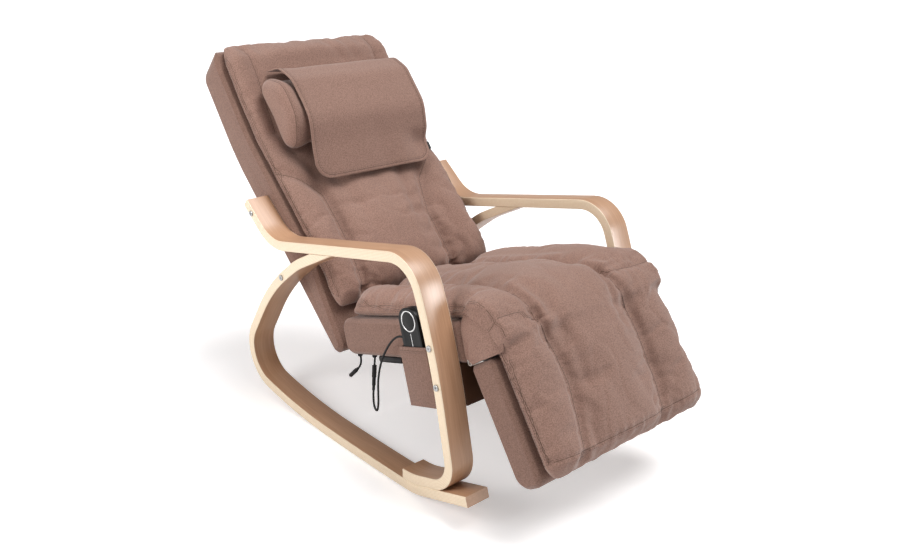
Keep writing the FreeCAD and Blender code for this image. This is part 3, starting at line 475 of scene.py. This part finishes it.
start = np.array(remotePath[0])
ahead = np.array(remotePath[1]) - start
ahead /= np.linalg.norm(ahead)
along = (points - start) @ ahead
core = start + along[:, None] * ahead
share = (along - along.min()) / (along.max() - along.min())
setPositions(pieces["cord_relief"], core + (points - core) * (1 - reliefSet["narrow"] * share)[:, None])
plainNodes = {
    "silver": ["remote_line"], "steel": ["hinge_pins", "threaded_sleeves", "guide_rods", "lead_screw"],
    "black metal": ["lift_motor", "massage_motor"],
    "black plastic": ["carriage", "massage_head_right", "massage_head_left"],
}
for look, items in plainNodes.items():
    for item in items:
        paint(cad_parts[item], finish[look])
print("cords, remote and hardware are made")

# Bent birch strips, swept so that the grain and the plies follow the bends
stripSet = {
    "width": 0.062, "thick": 0.024, "round": 0.0022, "step": 0.012, "middle": 0.299, "shift": -0.016,
    "cornerSteps": 3, "shortest": 0.0004, "scarfGap": 0.0003, "sharp": 35,
    "arm": {"corners": [(0.375, 0.517), (0.268, 0.434), (-0.265, 0.553), (-0.343, 0.364), (-0.4082, 0.0832),
                        (-0.2817, 0.0418), (-0.2477, 0.0407)],
            "radii": [0.122, 0.084, 1.49, 0.062, 0.186]},
    "rocker": {"corners": [(0.012, 0.491), (0.154, 0.416), (0.280, 0.319), (0.4481, 0.0607), (0.1722, 0.012),
                           (-0.1070, 0.012), (-0.2859, 0.0179), (-0.4559, 0.0735)],
               "radii": [0.298, 0.570, 0.089, 1.488, 8.988, 0.210]},
}

def bentLine(corners, radii):
    points = [Vector(corners[0])]
    for before, corner, after, radius in zip(corners, corners[1:], corners[2:], radii):
        corner = Vector(corner)
        a = (Vector(before) - corner).normalized()
        b = (Vector(after) - corner).normalized()
        half = (math.pi - a.angle(b)) / 2
        reach = radius * math.tan(half)
        middle = corner + (a + b).normalized() * (radius / math.cos(half))
        start, end = corner + a * reach - middle, corner + b * reach - middle
        turned = math.atan2(start.cross(end), start.dot(end))
        count = max(2, math.ceil(abs(turned) * radius / stripSet["step"]))
        for i in range(count + 1):
            points.append(middle + Matrix.Rotation(turned * i / count, 2) @ start)
    points.append(Vector(corners[-1]))
    return points

def stripProfile():
    halfWide, halfThick, corner = stripSet["width"] / 2, stripSet["thick"] / 2, stripSet["round"]
    ring = []
    for sx, st, first in ((1, 1, 0), (-1, 1, 90), (-1, -1, 180), (1, -1, 270)):
        for i in range(stripSet["cornerSteps"] + 1):
            angle = math.radians(first + 90 * i / stripSet["cornerSteps"])
            ring.append((sx * (halfWide - corner) + corner * math.cos(angle),
                         st * (halfThick - corner) + corner * math.sin(angle)))
    return ring

def sweepStrip(name, spec, side):
    line = bentLine(spec["corners"], spec["radii"])
    line = [line[0]] + [p for q, p in zip(line, line[1:]) if (p - q).length > stripSet["shortest"]]
    ring = stripProfile()
    count = len(ring)
    vertices, coords = [], []
    travelled = 0.0
    for i, point in enumerate(line):
        ahead = line[min(i + 1, len(line) - 1)] - line[max(i - 1, 0)]
        ahead.normalize()
        rise = Vector((-ahead.y, ahead.x))
        if i:
            travelled += (point - line[i - 1]).length
        for x, t in ring:
            place = point + rise * t
            vertices.append((side * stripSet["middle"] + x, place.x + stripSet["shift"], place.y))
            coords.append((travelled, x, t))
    faces = loftFaces(len(line), count)
    for first in (0, (len(line) - 1) * count):  # the ends have points of their own, so that they show grain
        base = len(vertices)
        for j in range(count):
            vertices.append(vertices[first + j])
            coords.append((coords[first + j][0], coords[first + j][1] / 2, coords[first + j][2]))
        faces.append(tuple(range(base, base + count)))
    obj = newMesh(name, vertices, faces)
    attribute = obj.data.attributes.new("stripCoord", "FLOAT_VECTOR", "POINT")
    attribute.data.foreach_set("vector", [v for c in coords for v in c])
    faceOut(obj)
    return obj

def trimScarf(obj):
    tab, front = (Vector(p) for p in stripSet["arm"]["corners"][1:3])
    ahead = (front - tab).normalized()
    down = Vector((ahead.y, -ahead.x))
    if down.y > 0:
        down = -down
    under = tab + down * (stripSet["thick"] / 2 + stripSet["scarfGap"])
    cut = {"plane_co": (0, under.x + stripSet["shift"], under.y), "plane_no": (0, -down.x, -down.y)}
    editAll(obj, (bpy.ops.mesh.bisect, {**cut, "use_fill": True, "clear_outer": True}))

for side, hand in ((-1, "Right"), (1, "Left")):
    armStrip = sweepStrip("armStrip" + hand, stripSet["arm"], side)
    rockerStrip = sweepStrip("rockerStrip" + hand, stripSet["rocker"], side)
    trimScarf(rockerStrip)
    for obj, prefix in ((armStrip, "arm_strip_"), (rockerStrip, "rocker_strip_")):
        smooth(obj, stripSet["sharp"])
        settle(obj, "frame", "birch", finish["birch"], prefix + hand.lower())
print("birch strips are swept")

# Cloth-covered panels, in the cover cloth darkened as painted shade
panelSet = {
    "back_panel": {"name": "backPanel", "body": "frame", "round": 0.007},
    "seat_base": {"name": "seatBase", "body": "frame", "round": 0.007},
    "foot_panel": {"name": "footPanel", "body": "footrest", "round": 0.007},
    "remote_pocket": {"name": "remotePocket", "body": "frame", "round": 0.0025},
}
for item, spec in panelSet.items():
    panel = roundedCopy(item, spec["name"], spec["round"], 4, 20)
    settle(panel, spec["body"], "cover_cloth", finish["cover"], item)
print("panels are covered")

# Quilted pads: the solids' skins, swollen by a short cloth run between their sewn lines
kneeAngles = (14, 32, 50, 66)

def kneePoint(angle, radius):
    slope = math.radians(90 + planes["seat"]["tilt"] + angle)
    origin = planes["foot"]["origin"]
    return (origin[0] + radius * math.cos(slope), origin[1] + radius * math.sin(slope))

def pinch(depth, width, *route):
    return {"route": route, "depth": depth, "width": width}

padSet = {
    "seatQuilt": {
        "nodes": ["seat_mattress", "knee_roll", "foot_mattress"], "grow": 0.005, "outward": -1, "soft": 0.65,
        "line": [sidePoint("seat", 0.424, 0.0888), sidePoint("seat", -0.004, 0.0888)]
        + [kneePoint(a, 0.082) for a in kneeAngles]
        + [sidePoint("foot", 0.0, 0.0738), sidePoint("foot", -0.276, 0.0738)],
        "seams": [
            pinch(0.011, 0.014, (0.075, 0.03), (0.058, 0.2), (0.066, 0.33), (0.095, 0.44), (0.113, 0.53),
                  (0.113, 0.63), (0.108, 0.73), (0.090, 0.80)),
            pinch(0.011, 0.014, (-0.140, 0.03), (-0.148, 0.2), (-0.150, 0.42), (-0.148, 0.51), (-0.140, 0.58),
                  (-0.133, 0.65), (-0.152, 0.73), (-0.172, 0.80)),
            pinch(0.005, 0.008, (-0.254, 0.497), (-0.20, 0.500), (-0.148, 0.508)),
            pinch(0.005, 0.008, (0.100, 0.475), (0.18, 0.487), (0.254, 0.490)),
        ],
        "edges": [[(-0.243, 0.03), (-0.249, 0.2), (-0.249, 0.775)], [(0.243, 0.03), (0.249, 0.2), (0.249, 0.775)],
                  [(-0.246, 0.777), (-0.17, 0.783), (0.09, 0.783), (0.246, 0.777)]],
        "sides": [(0.011, 0.03, 0.44), (0.027, 0.03, 0.44), (0.011, 0.56, 0.78), (0.027, 0.56, 0.78)],
        "folds": [
            pinch(0.006, 0.013, (-0.112, 0.46), (-0.098, 0.55), (-0.094, 0.66)),
            pinch(0.006, 0.012, (0.082, 0.47), (0.070, 0.54), (0.072, 0.58)),
            pinch(0.004, 0.020, (-0.02, 0.06), (0.02, 0.16)),
            pinch(0.004, 0.020, (-0.10, 0.10), (-0.06, 0.24)),
            pinch(0.004, 0.018, (-0.06, 0.62), (-0.03, 0.74)),
            pinch(0.003, 0.016, (0.03, 0.66), (0.06, 0.77)),
        ],
        "tufts": [(0.100, 0.475, 0.009), (0.060, 0.045, 0.008), (-0.145, 0.045, 0.006), (-0.148, 0.508, 0.004)],
    },
    "backQuilt": {
        "nodes": ["back_mattress"], "grow": 0.002, "outward": 1, "soft": 0.65,
        "line": [sidePoint("back", u, v) for u, v in ((-0.215, 0.038), (0.030, 0.098), (0.3694, 0.098),
                                                     (0.6295, 0.1398))],
        "seams": [
            pinch(0.010, 0.014, (-0.254, 0.475), (-0.207, 0.433), (-0.160, 0.386), (-0.158, 0.30), (-0.165, 0.2),
                  (-0.172, 0.11)),
            pinch(0.010, 0.014, (0.254, 0.470), (0.214, 0.437), (0.150, 0.372), (0.112, 0.26), (0.118, 0.11)),
            pinch(0.007, 0.012, (-0.196, 0.835), (-0.194, 0.74), (-0.206, 0.58)),
            pinch(0.007, 0.012, (0.196, 0.835), (0.194, 0.74), (0.206, 0.58)),
        ],
        "edges": [[(-0.244, 0.12), (-0.249, 0.3), (-0.249, 0.82)], [(0.244, 0.12), (0.249, 0.3), (0.249, 0.82)]],
        "sides": [(0.009, 0.13, 0.82), (0.020, 0.13, 0.82)],
        "folds": [
            pinch(0.006, 0.020, (-0.105, 0.42), (-0.085, 0.33), (-0.09, 0.22)),
            pinch(0.008, 0.018, (0.095, 0.47), (0.085, 0.38), (0.068, 0.27)),
            pinch(0.003, 0.026, (0.00, 0.45), (0.015, 0.33), (0.00, 0.24)),
            pinch(0.004, 0.012, (0.10, 0.835), (0.125, 0.765)),
            pinch(0.004, 0.012, (0.04, 0.835), (0.075, 0.765)),
            pinch(0.003, 0.012, (-0.235, 0.76), (-0.215, 0.70), (-0.225, 0.63)),
        ],
        "tufts": [(0.118, 0.12, 0.007), (-0.172, 0.12, 0.008)],
        "loaded": {"from": (-0.205, 0.39), "to": (0.222, 0.77), "border": 0.11},
    },
}

def nearLine(points, line):
    best = np.full(len(points), 1e9)
    travelled, turn = np.zeros(len(points)), np.zeros(len(points))
    start = 0.0
    for a, b in zip(line, line[1:]):
        run = np.subtract(b, a)
        offset = points - a
        share = np.clip(offset @ run / (run @ run), 0, 1)
        gap = offset - share[:, None] * run
        distance = np.hypot(gap[:, 0], gap[:, 1])
        near = distance < best
        best = np.where(near, distance, best)
        travelled = np.where(near, start + share * np.hypot(*run), travelled)
        turn = np.where(near, np.sign(run[0] * offset[:, 1] - run[1] * offset[:, 0]), turn)
        start += np.hypot(*run)
    return best, travelled, turn

def unroll(points, spec):
    best, along, turn = nearLine(points[:, 1:3], spec["line"])
    return along, best * turn * spec["outward"]

def nearRoute(across, along, route):
    return nearLine(np.stack((across, along), 1), route)[:2]

quiltSet = {"voxel": 0.0075, "ease": 9, "topFrom": 0.012, "topRamp": 0.012, "heldBelow": 0.010, "sewnWide": 0.006,
            "frames": 16, "cap": 0.016, "sideLimit": 0.2645, "pressFirst": 0.6, "pressAgain": 0.5}
clothSet = {"quality": 4, "mass": 0.25, "air_damping": 4, "tension_stiffness": 18, "compression_stiffness": 14,
            "shear_stiffness": 8, "bending_stiffness": 0.5, "use_pressure": True, "uniform_pressure_force": 3.6,
            "shrink_min": -0.04, "vertex_group_mass": "sewn"}
wrinkleSet = {
    "wander": 1.7, "wanderRate": 41.0, "loadedLess": 0.7,
    "seam": {"depth": 0.0011, "pitch": 0.026, "fine": 0.017, "fineShare": 0.6, "reach": 0.016, "clear": 0.005},
    "edge": {"depth": 0.0010, "pitch": 0.034, "fine": 0.019, "fineShare": 0.5, "reach": 0.020, "groove": 0.0016,
             "grooveWide": 0.004},
    "tuft": {"wide": 0.012, "depth": 0.0024, "rays": 7, "twist": 40, "reach": 0.026, "clear": 0.006},
    "broad": {"depth": 0.0028, "scale": (8, 6), "layer": 0.3},
    "crease": {"depth": 0.0016, "scale": (15, 9), "layer": 2.7, "from": 0.86, "ramp": 0.14},
}

def onTop(height):
    return np.clip((height - quiltSet["topFrom"]) / quiltSet["topRamp"], 0, 1)

def loadShare(spec, across, along):
    loaded = spec.get("loaded")
    if not loaded:
        return np.zeros(len(across))
    (x0, d0), (x1, d1) = loaded["from"], loaded["to"]
    inside = np.minimum.reduce([across - x0, x1 - across, along - d0, d1 - along])
    return np.clip(1 + inside / loaded["border"], 0, 1)

def pressIn(obj, spec, lines, share=1.0):
    points = positions(obj)
    along, height = unroll(points, spec)
    amount = np.zeros(len(points))
    for line in lines:
        distance, travelled = nearRoute(points[:, 0], along, line["route"])
        amount -= line["depth"] * np.exp(-(distance / line["width"]) ** 2)
    pushOut(obj, points, amount * onTop(height) * share)

def wave(place, pitch, shift):
    wander = wrinkleSet["wander"] * np.sin(place * wrinkleSet["wanderRate"] + shift)
    return np.sin(place * (2 * math.pi / pitch) + shift + wander)

def ripples(kind, travelled, first, second):
    return wave(travelled, kind["pitch"], first) + kind["fineShare"] * wave(travelled, kind["fine"], second)

def noiseAt(spec, across, along):
    (xScale, dScale), layer = spec["scale"], spec["layer"]
    return np.array([noise.noise(Vector((x * xScale, d * dScale, layer))) for x, d in zip(across, along)])

def wrinkle(obj, spec):
    points = positions(obj)
    across = points[:, 0]
    along, height = unroll(points, spec)
    amount = np.zeros(len(points))
    seam, edge, tuft, broad, crease = (wrinkleSet[kind] for kind in ("seam", "edge", "tuft", "broad", "crease"))
    for number, line in enumerate(spec["seams"]):
        distance, travelled = nearRoute(across, along, line["route"])
        ripple = ripples(seam, travelled, number, 2.0 * number)
        clear = 1 - np.exp(-(distance / seam["clear"]) ** 2)
        amount += seam["depth"] * ripple * np.exp(-distance / seam["reach"]) * clear
    for number, route in enumerate(spec["edges"]):
        distance, travelled = nearRoute(across, along, route)
        ripple = ripples(edge, travelled, 3.0 + number, number)
        amount += edge["depth"] * ripple * np.exp(-distance / edge["reach"])
        amount -= edge["groove"] * np.exp(-(distance / edge["grooveWide"]) ** 2)
    for x, d, depth in spec["tufts"]:
        dx, dd = across - x, along - d
        radius = np.hypot(dx, dd)
        amount -= depth * np.exp(-(radius / tuft["wide"]) ** 2)
        star = np.cos(tuft["rays"] * np.arctan2(dd, dx) + tuft["twist"] * radius)
        amount += tuft["depth"] * star * np.exp(-radius / tuft["reach"]) * (radius > tuft["clear"])
    sharp = np.clip(1 - np.abs(noiseAt(crease, across, along)) - crease["from"], 0, 1)
    amount += broad["depth"] * noiseAt(broad, across, along) - crease["depth"] * sharp / crease["ramp"]
    amount *= 1 - wrinkleSet["loadedLess"] * loadShare(spec, across, along)
    pushOut(obj, points, amount * onTop(height))

def swell(obj, spec):
    points = positions(obj)
    along, height = unroll(points, spec)
    held = height < quiltSet["heldBelow"]
    for line in spec["seams"]:
        near = nearRoute(points[:, 0], along, line["route"])[0] < quiltSet["sewnWide"]
        held |= near & (height > quiltSet["topFrom"])
    pins = obj.vertex_groups.new(name="sewn")
    pins.add([int(i) for i in np.nonzero(held)[0]], 1.0, "REPLACE")
    cloth = addModifier(obj, "CLOTH")
    for name, value in clothSet.items():
        setattr(cloth.settings, name, value)
    cloth.settings.effector_weights.gravity = 0
    cloth.collision_settings.use_collision = False
    cloth.point_cache.frame_start = 1
    cloth.point_cache.frame_end = quiltSet["frames"]
    for number in range(1, quiltSet["frames"] + 1):
        scene.frame_set(number)
    pickOnly(obj)
    bpy.ops.object.modifier_apply(modifier=cloth.name)
    scene.frame_set(1)
    move = positions(obj) - points
    distance = np.linalg.norm(move, axis=1)
    share = np.minimum(1, quiltSet["cap"] / np.maximum(distance, 1e-9))
    share *= 1 - loadShare(spec, points[:, 0], along)
    moved = points + move * share[:, None]
    moved[:, 0] = np.clip(moved[:, 0], -quiltSet["sideLimit"], quiltSet["sideLimit"])
    setPositions(obj, moved)
    obj.vertex_groups.clear()
    print(obj.name, "swelled by up to", round(1000 * float(distance.max()), 1), "mm before its cap")

def softSkin(name, spec):
    copies = [copyNode(item, name) for item in spec["nodes"]]
    pickOnly(copies[0])
    for other in copies[1:]:
        other.select_set(True)
    bpy.ops.object.join()
    obj = bpy.context.active_object
    obj.name = name
    applyModifier(obj, "DISPLACE", strength=spec["grow"], mid_level=0)
    remake(obj, quiltSet)
    applyModifier(obj, "DISPLACE", strength=-spec["grow"], mid_level=0)
    pressIn(obj, spec, spec["seams"], quiltSet["pressFirst"])
    swell(obj, spec)
    pressIn(obj, spec, spec["seams"], quiltSet["pressAgain"])
    pressIn(obj, spec, spec["folds"])
    applyModifier(obj, "SMOOTH", factor=0.4, iterations=2)
    applyModifier(obj, "SUBSURF", levels=1, render_levels=1)
    wrinkle(obj, spec)
    soften(obj)
    return obj

def lineAt(line, along):
    for a, b in zip(line, line[1:]):
        a, b = Vector(a), Vector(b)
        length = (b - a).length
        if along <= length:
            return a + (b - a) * (along / length), (b - a) / length
        along -= length
    return b, (b - a).normalized()

def overLine(spec, along, height):
    point, ahead = lineAt(spec["line"], along)
    out = Vector((-ahead.y, ahead.x)) * spec["outward"]
    return point + out * height, out

def onSkin(tree, spec, x, along):
    place, out = overLine(spec, along, stitchSet["above"])
    return hitOn(tree, Vector((x, *place)), Vector((0, *-out)))

def onSide(tree, spec, side, along, height):
    place, out = overLine(spec, along, height)
    found = hitOn(tree, Vector((side * stitchSet["aside"], *place)), Vector((-side, 0, 0)))
    return found if found and abs(found[0].x) > stitchSet["inside"] else None

def evenRoute(route, step):
    points = []
    for (x0, d0), (x1, d1) in zip(route, route[1:]):
        count = max(1, round(math.hypot(x1 - x0, d1 - d0) / step))
        points += [(x0 + (x1 - x0) * i / count, d0 + (d1 - d0) * i / count) for i in range(count)]
    return points + [route[-1]]

def threadCurve(name, lines, radius):
    obj = newCurve(name, "POLY", lines)
    obj.data.bevel_depth = radius
    obj.data.bevel_resolution = 0
    pickOnly(obj)
    bpy.ops.object.convert(target="MESH")
    return bpy.context.active_object

stitchSet = {"step": 0.003, "seam": 0.0008, "thread": 0.00045, "beside": 0.0042, "sink": 0.0003, "fewest": 4,
             "above": 0.16, "aside": 0.4, "inside": 0.2}  # the last three say where a seam is looked for

def sewLines(name, routes, both=True):
    seams, dashes = [], []
    for hits in routes:
        hits = [h for h in hits if h]
        if len(hits) < stitchSet["fewest"]:
            continue
        seams.append([h[0] - h[1] * stitchSet["sink"] for h in hits])
        for first, second in zip(hits[::2], hits[1::2]):
            ahead = (second[0] - first[0]).normalized()
            for side in (-1, 1) if both else (1,):
                aside = first[1].cross(ahead) * side * stitchSet["beside"]
                dashes.append([first[0] + aside, second[0] + aside])
    return [threadCurve(name + "Seams", seams, stitchSet["seam"]),
            threadCurve(name + "Stitches", dashes, stitchSet["thread"])]

def sewOn(name, routes):
    threads = sewLines(name, routes, False)
    for piece in threads:
        settle(piece, "frame", "pad_cloth", finish["thread"])
    return threads

def sewPad(name, skin, spec):
    tree = treeOf(skin)
    routes = [line["route"] for line in spec["seams"]] + spec["edges"]
    found = [[onSkin(tree, spec, x, d) for x, d in evenRoute(route, stitchSet["step"])] for route in routes]
    for height, first, last in spec["sides"]:
        for side in (-1, 1):
            places = evenRoute([(0, first), (0, last)], stitchSet["step"])
            found.append([onSide(tree, spec, side, d, height) for x, d in places])
    return sewLines(name, found)

def overKnee(piece):
    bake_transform(piece)

for name, spec in padSet.items():
    skin = softSkin(name, spec)
    threads = sewPad(name, skin, spec)
    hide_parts(*spec["nodes"])
    for piece in [skin] + threads:
        paint(piece, finish["pad" if piece is skin else "thread"])
        if name == "seatQuilt":
            overKnee(piece)
        else:
            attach(piece, "frame")
    print(name, "is quilted")

# Gathered cloth in the fold between the seat and the footrest, in front of the hinges
gussetSet = {"half": 0.2595, "rows": 41, "voxel": 0.004, "ease": 6, "pleat": 0.0035, "soft": 0.3,
             "outline": [(0.024, 12), (0.050, 4), (0.078, 1), (0.078, 62), (0.050, 59), (0.024, 52)]}
hinge = planes["foot"]["origin"]

def gather(piece, look):
    paint(piece, finish[look])
    overKnee(piece)

def aboutHinge(points):
    y, z = points[:, 1] - hinge[0], points[:, 2] - hinge[1]
    return np.hypot(y, z), np.arctan2(z, y)

corners = [kneePoint(angle, radius) for radius, angle in gussetSet["outline"]]
count, rows = len(corners), gussetSet["rows"]
vertices = []
for i in range(rows):
    x = gussetSet["half"] * (2 * i / (rows - 1) - 1)
    vertices += [(x, *corner) for corner in corners]
ends = [tuple(range(count)), tuple(range((rows - 1) * count, rows * count))]
gusset = newMesh("kneeGusset", vertices, loftFaces(rows, count) + ends)
faceOut(gusset)
remake(gusset, gussetSet)
points = positions(gusset)
radius, angle = aboutHinge(points)
pleats = np.sin(9 * angle + 30 * radius) + 0.6 * np.sin(15 * angle - 60 * radius + 1.1)
pushOut(gusset, points, -gussetSet["pleat"] * (0.6 + 0.4 * pleats))
applyModifier(gusset, "SUBSURF", levels=1, render_levels=1)
soften(gusset)
# the gusset in the fold takes the darker cover cloth, painted shade
gather(gusset, "cover")
goreSet = {"inner": 0.2624, "outer": 0.2664, "fold": 0.0015, "voxel": 0.0014, "ease": 3, "tuck": 0.016,
           "tuckFrom": 0.066, "tuckRamp": 0.034, "soft": 0.1,
           "outline": [(0.012, -16), (0.040, -7), (0.100, -4), (0.108, 6), (0.110, 20), (0.110, 36), (0.110, 52),
                  (0.108, 66), (0.100, 75), (0.060, 76.5), (0.040, 77), (0.012, 96)]}

def goreMesh(name, side):
    corners = [kneePoint(angle, radius) for radius, angle in goreSet["outline"]]
    count = len(corners)
    vertices = [(side * x, *corner) for x in (goreSet["inner"], goreSet["outer"]) for corner in corners]
    ends = [tuple(range(count)), tuple(range(count, 2 * count))]
    obj = newMesh(name, vertices, ends + loftFaces(2, count))
    faceOut(obj)
    remake(obj, goreSet)
    points = positions(obj)
    radius, angle = aboutHinge(points)
    fold = np.sin(7 * angle + 35 * radius) + 0.5 * np.sin(13 * angle - 70 * radius)
    tucked = np.clip((radius - goreSet["tuckFrom"]) / goreSet["tuckRamp"], 0, 1) ** 2
    points[:, 0] += side * (goreSet["fold"] * 0.6 * (fold - 0.6) - goreSet["tuck"] * tucked)
    setPositions(obj, points)
    soften(obj)
    return obj

for name, side in (("kneeGoreRight", -1), ("kneeGoreLeft", 1)):
    gore = goreMesh(name, side)
    gather(gore, "pad")
print("knee gusset is gathered")

# Stitched hem along the mouth of the remote's pocket
pocketSet = {"hem": [(-0.3005, 0.3433), (-0.2170, 0.3162)], "aside": -0.4}
tree = treeOf(bpy.data.objects["remotePocket"])
hits = [hitOn(tree, Vector((pocketSet["aside"], y, z)), Vector((1, 0, 0)))
        for y, z in evenRoute(pocketSet["hem"], stitchSet["step"])]
sewOn("pocketHem", [hits])

# Head pillow with an oval sewn end panel. Its open end is fuller than the rest
pillowSet = {"voxel": 0.006, "ease": 10, "middle": (0.0, 0.088), "half": 0.205, "crown": 0.003, "ripple": 0.0015,
             "endSeam": 0.197, "rayFrom": 0.2, "soft": 0.8,
             "wholeEnd": {"grow": 0.009, "from": -0.166, "ramp": 0.02},
             "lowEnd": {"grow": 0.008, "from": -0.150, "ramp": 0.03, "above": 0.02, "fade": 0.05}}

def endShare(spec, x):
    return np.clip((spec["from"] - x) / spec["ramp"], 0, 1)

pillow = copyNode("head_pillow", "headPillow")
remake(pillow, pillowSet)
points = positions(pillow)
x, z = points[:, 0], points[:, 2]
middle = sidePoint("pillow", *pillowSet["middle"])
wholeEnd, lowEnd = pillowSet["wholeEnd"], pillowSet["lowEnd"]
bulge = pillowSet["crown"] * np.cos(x / pillowSet["half"] * math.pi / 2)
bulge += pillowSet["ripple"] * np.sin(x * 38) * np.sin(z * 55)
low = np.clip((middle[1] + lowEnd["above"] - z) / lowEnd["fade"], 0, 1)
bulge += np.maximum(lowEnd["grow"] * low * endShare(lowEnd, x), wholeEnd["grow"] * endShare(wholeEnd, x))
pushOut(pillow, points, bulge)
applyModifier(pillow, "SUBSURF", levels=1, render_levels=1)
soften(pillow)
settle(pillow, "frame", "pad_cloth", finish["pad"], "head_pillow")
tree = treeOf(pillow)
turns = [math.radians(2 * i) for i in range(181)]
rays = [Vector((0, math.cos(turned), math.sin(turned))) for turned in turns]
rings = []
for side in (-1, 1):
    start = Vector((side * pillowSet["endSeam"], *middle))
    rings.append([hitOn(tree, start + ray * pillowSet["rayFrom"], -ray) for ray in rays])
sewOn("pillowEnd", rings)

# Flap: one draped sheet over the pillow, with a turned hem
flapSet = {
    "corners": [(0.126, 0.0607), (0.104, 0.1098), (0.054, 0.1371), (-0.058, 0.1371)], "radii": [0.034, 0.048, 0.080],
    "laid": ([(-0.114, 0.1038), (-0.138, 0.0704), (-0.200, 0.0684)], [0.044, 0.034]),  # how the line goes on
    "loose": ([(-0.116, 0.1038), (-0.198, 0.0704)], [0.200]),
    "laidFrom": 0.10, "laidTo": 0.19,  # the far edge lies on the pad, where the tag is sewn in
    "right": -0.165, "left": 0.205, "round": (0.050, 0.045), "thick": 0.0024, "columns": 92, "step": 0.004,
    "spread": 0.008, "spreadLong": 0.18, "flare": 0.012, "hem": 0.009, "hemFrom": 0.004, "rayFrom": 0.03,
    "billow": 0.004, "wave": 0.005, "freeFrom": 0.22, "freeRamp": 0.16, "sideRamp": 0.05,
    "fold": (34, 9, 0.6), "ripple": (61, -14, 0), "edge": (27, 0, 1.9),
}
flapLines = [bentLine(flapSet["corners"] + corners, flapSet["radii"] + radii)
             for corners, radii in (flapSet["loose"], flapSet["laid"])]
flapLengths = [lengthOf(line) for line in flapLines]
flapLong = max(flapLengths)
flapRows = round(flapLong / flapSet["step"])
flapRight, flapLeft = flapSet["right"], flapSet["left"]
wide = (flapLeft - flapRight) / 2
centre = (flapLeft + flapRight) / 2

def flapOn(line, whole, distance):
    left = distance * whole / flapLong
    for a, b in zip(line, line[1:]):
        length = (b - a).length
        if left <= length or b is line[-1]:
            break
        left -= length
    ahead = (b - a).normalized()
    return a + ahead * left, Vector((ahead.y, -ahead.x))

def flapPlace(across, distance, lift=0.0):
    (loose, looseUp), (laid, laidUp) = (flapOn(*line, distance) for line in zip(flapLines, flapLengths))
    share = (across - flapSet["laidFrom"]) / (flapSet["laidTo"] - flapSet["laidFrom"])
    share = min(1.0, max(0.0, share))
    share *= share * (3 - 2 * share)
    place = loose.lerp(laid, share) + looseUp.lerp(laidUp, share) * lift
    wider = flapSet["spread"] * max(0, 1 - distance / flapSet["spreadLong"])
    wider += flapSet["flare"] * (distance / flapLong) ** 2
    across -= wider * max(0, (centre - across) / wide)
    return (across, *sidePoint("pillow", place.x, place.y))

def swing(kind, across, distance):
    acrossRate, alongRate, shift = flapSet[kind]
    return 0.5 + 0.5 * math.sin(across * acrossRate + alongRate * distance + shift)

def flapBillow(across, distance):
    free = max(0.0, (distance - flapSet["freeFrom"]) / flapSet["freeRamp"])
    side = max(0.0, 1 - (across - flapRight) / flapSet["sideRamp"])
    fold, ripple = swing("fold", across, distance), swing("ripple", across, distance)
    soft = 0.5 + 0.5 * noise.noise(Vector((across * 9, distance * 8, 1.3)))
    edge = min(1.0, free) ** 2 * swing("edge", across, distance)
    billow = free * (0.8 * fold + 0.5 * ripple) + 0.8 * side + 0.7 * soft
    return flapSet["billow"] * billow + flapSet["wave"] * edge

def flapLack(radius, distance):
    fromEnd = min(flapLong - distance, radius)
    return radius - math.sqrt(radius ** 2 - (radius - fromEnd) ** 2)

columns = flapSet["columns"]
vertices, faces = [], []
flat = flapSet["spread"] * flapSet["spreadLong"] / 2 + flapSet["flare"] * flapLong / 3
for i in range(flapRows + 1):
    distance = flapLong * i / flapRows
    lacks = [flapLack(radius, distance) for radius in flapSet["round"]]
    first, last = flapRight + lacks[0], flapLeft - lacks[1]
    for j in range(columns + 1):
        across = first + (last - first) * j / columns
        vertices.append(flapPlace(across, distance, flapBillow(across, distance)))
    flat += (last - first) * flapLong / flapRows if i else 0
for i in range(flapRows):
    for j in range(columns):
        a = i * (columns + 1) + j
        faces.append((a, a + 1, a + columns + 2, a + columns + 1))
flap = newMesh("pillowFlap", vertices, faces)
applyModifier(flap, "SOLIDIFY", thickness=flapSet["thick"], offset=0)
soften(flap)
settle(flap, "frame", "pad_cloth", finish["pad"], "pillow_flap")
tree = treeOf(flap)
near, far = flapSet["round"]
hem = flapSet["hem"]

def rimCorner(edge, way, radius, degrees):
    turned, inner = math.radians(degrees), radius - hem
    return edge + way * (radius - inner * math.cos(turned)), flapLong - radius + inner * math.sin(turned)

rim = [(flapRight + hem, flapSet["hemFrom"])]
rim += [rimCorner(flapRight, 1, near, a) for a in range(0, 91, 10)]
rim += [rimCorner(flapLeft, -1, far, a) for a in range(90, -1, -10)]
rim.append((flapLeft - hem, flapSet["hemFrom"]))
hits = []
for across, distance in evenRoute(rim, stitchSet["step"]):
    above = Vector(flapPlace(across, distance, flapSet["rayFrom"]))
    below = Vector(flapPlace(across, distance, -flapSet["rayFrom"]))
    hits.append(hitOn(tree, above, (below - above).normalized()))
hemPieces = sewOn("flapHem", [hits])
tag = roundedCopy("flap_tag", "flapTag", 0.0004)
settle(tag, "frame", "tag_cloth", finish["tag"], "flap_tag")
print("pillow and flap are laid")
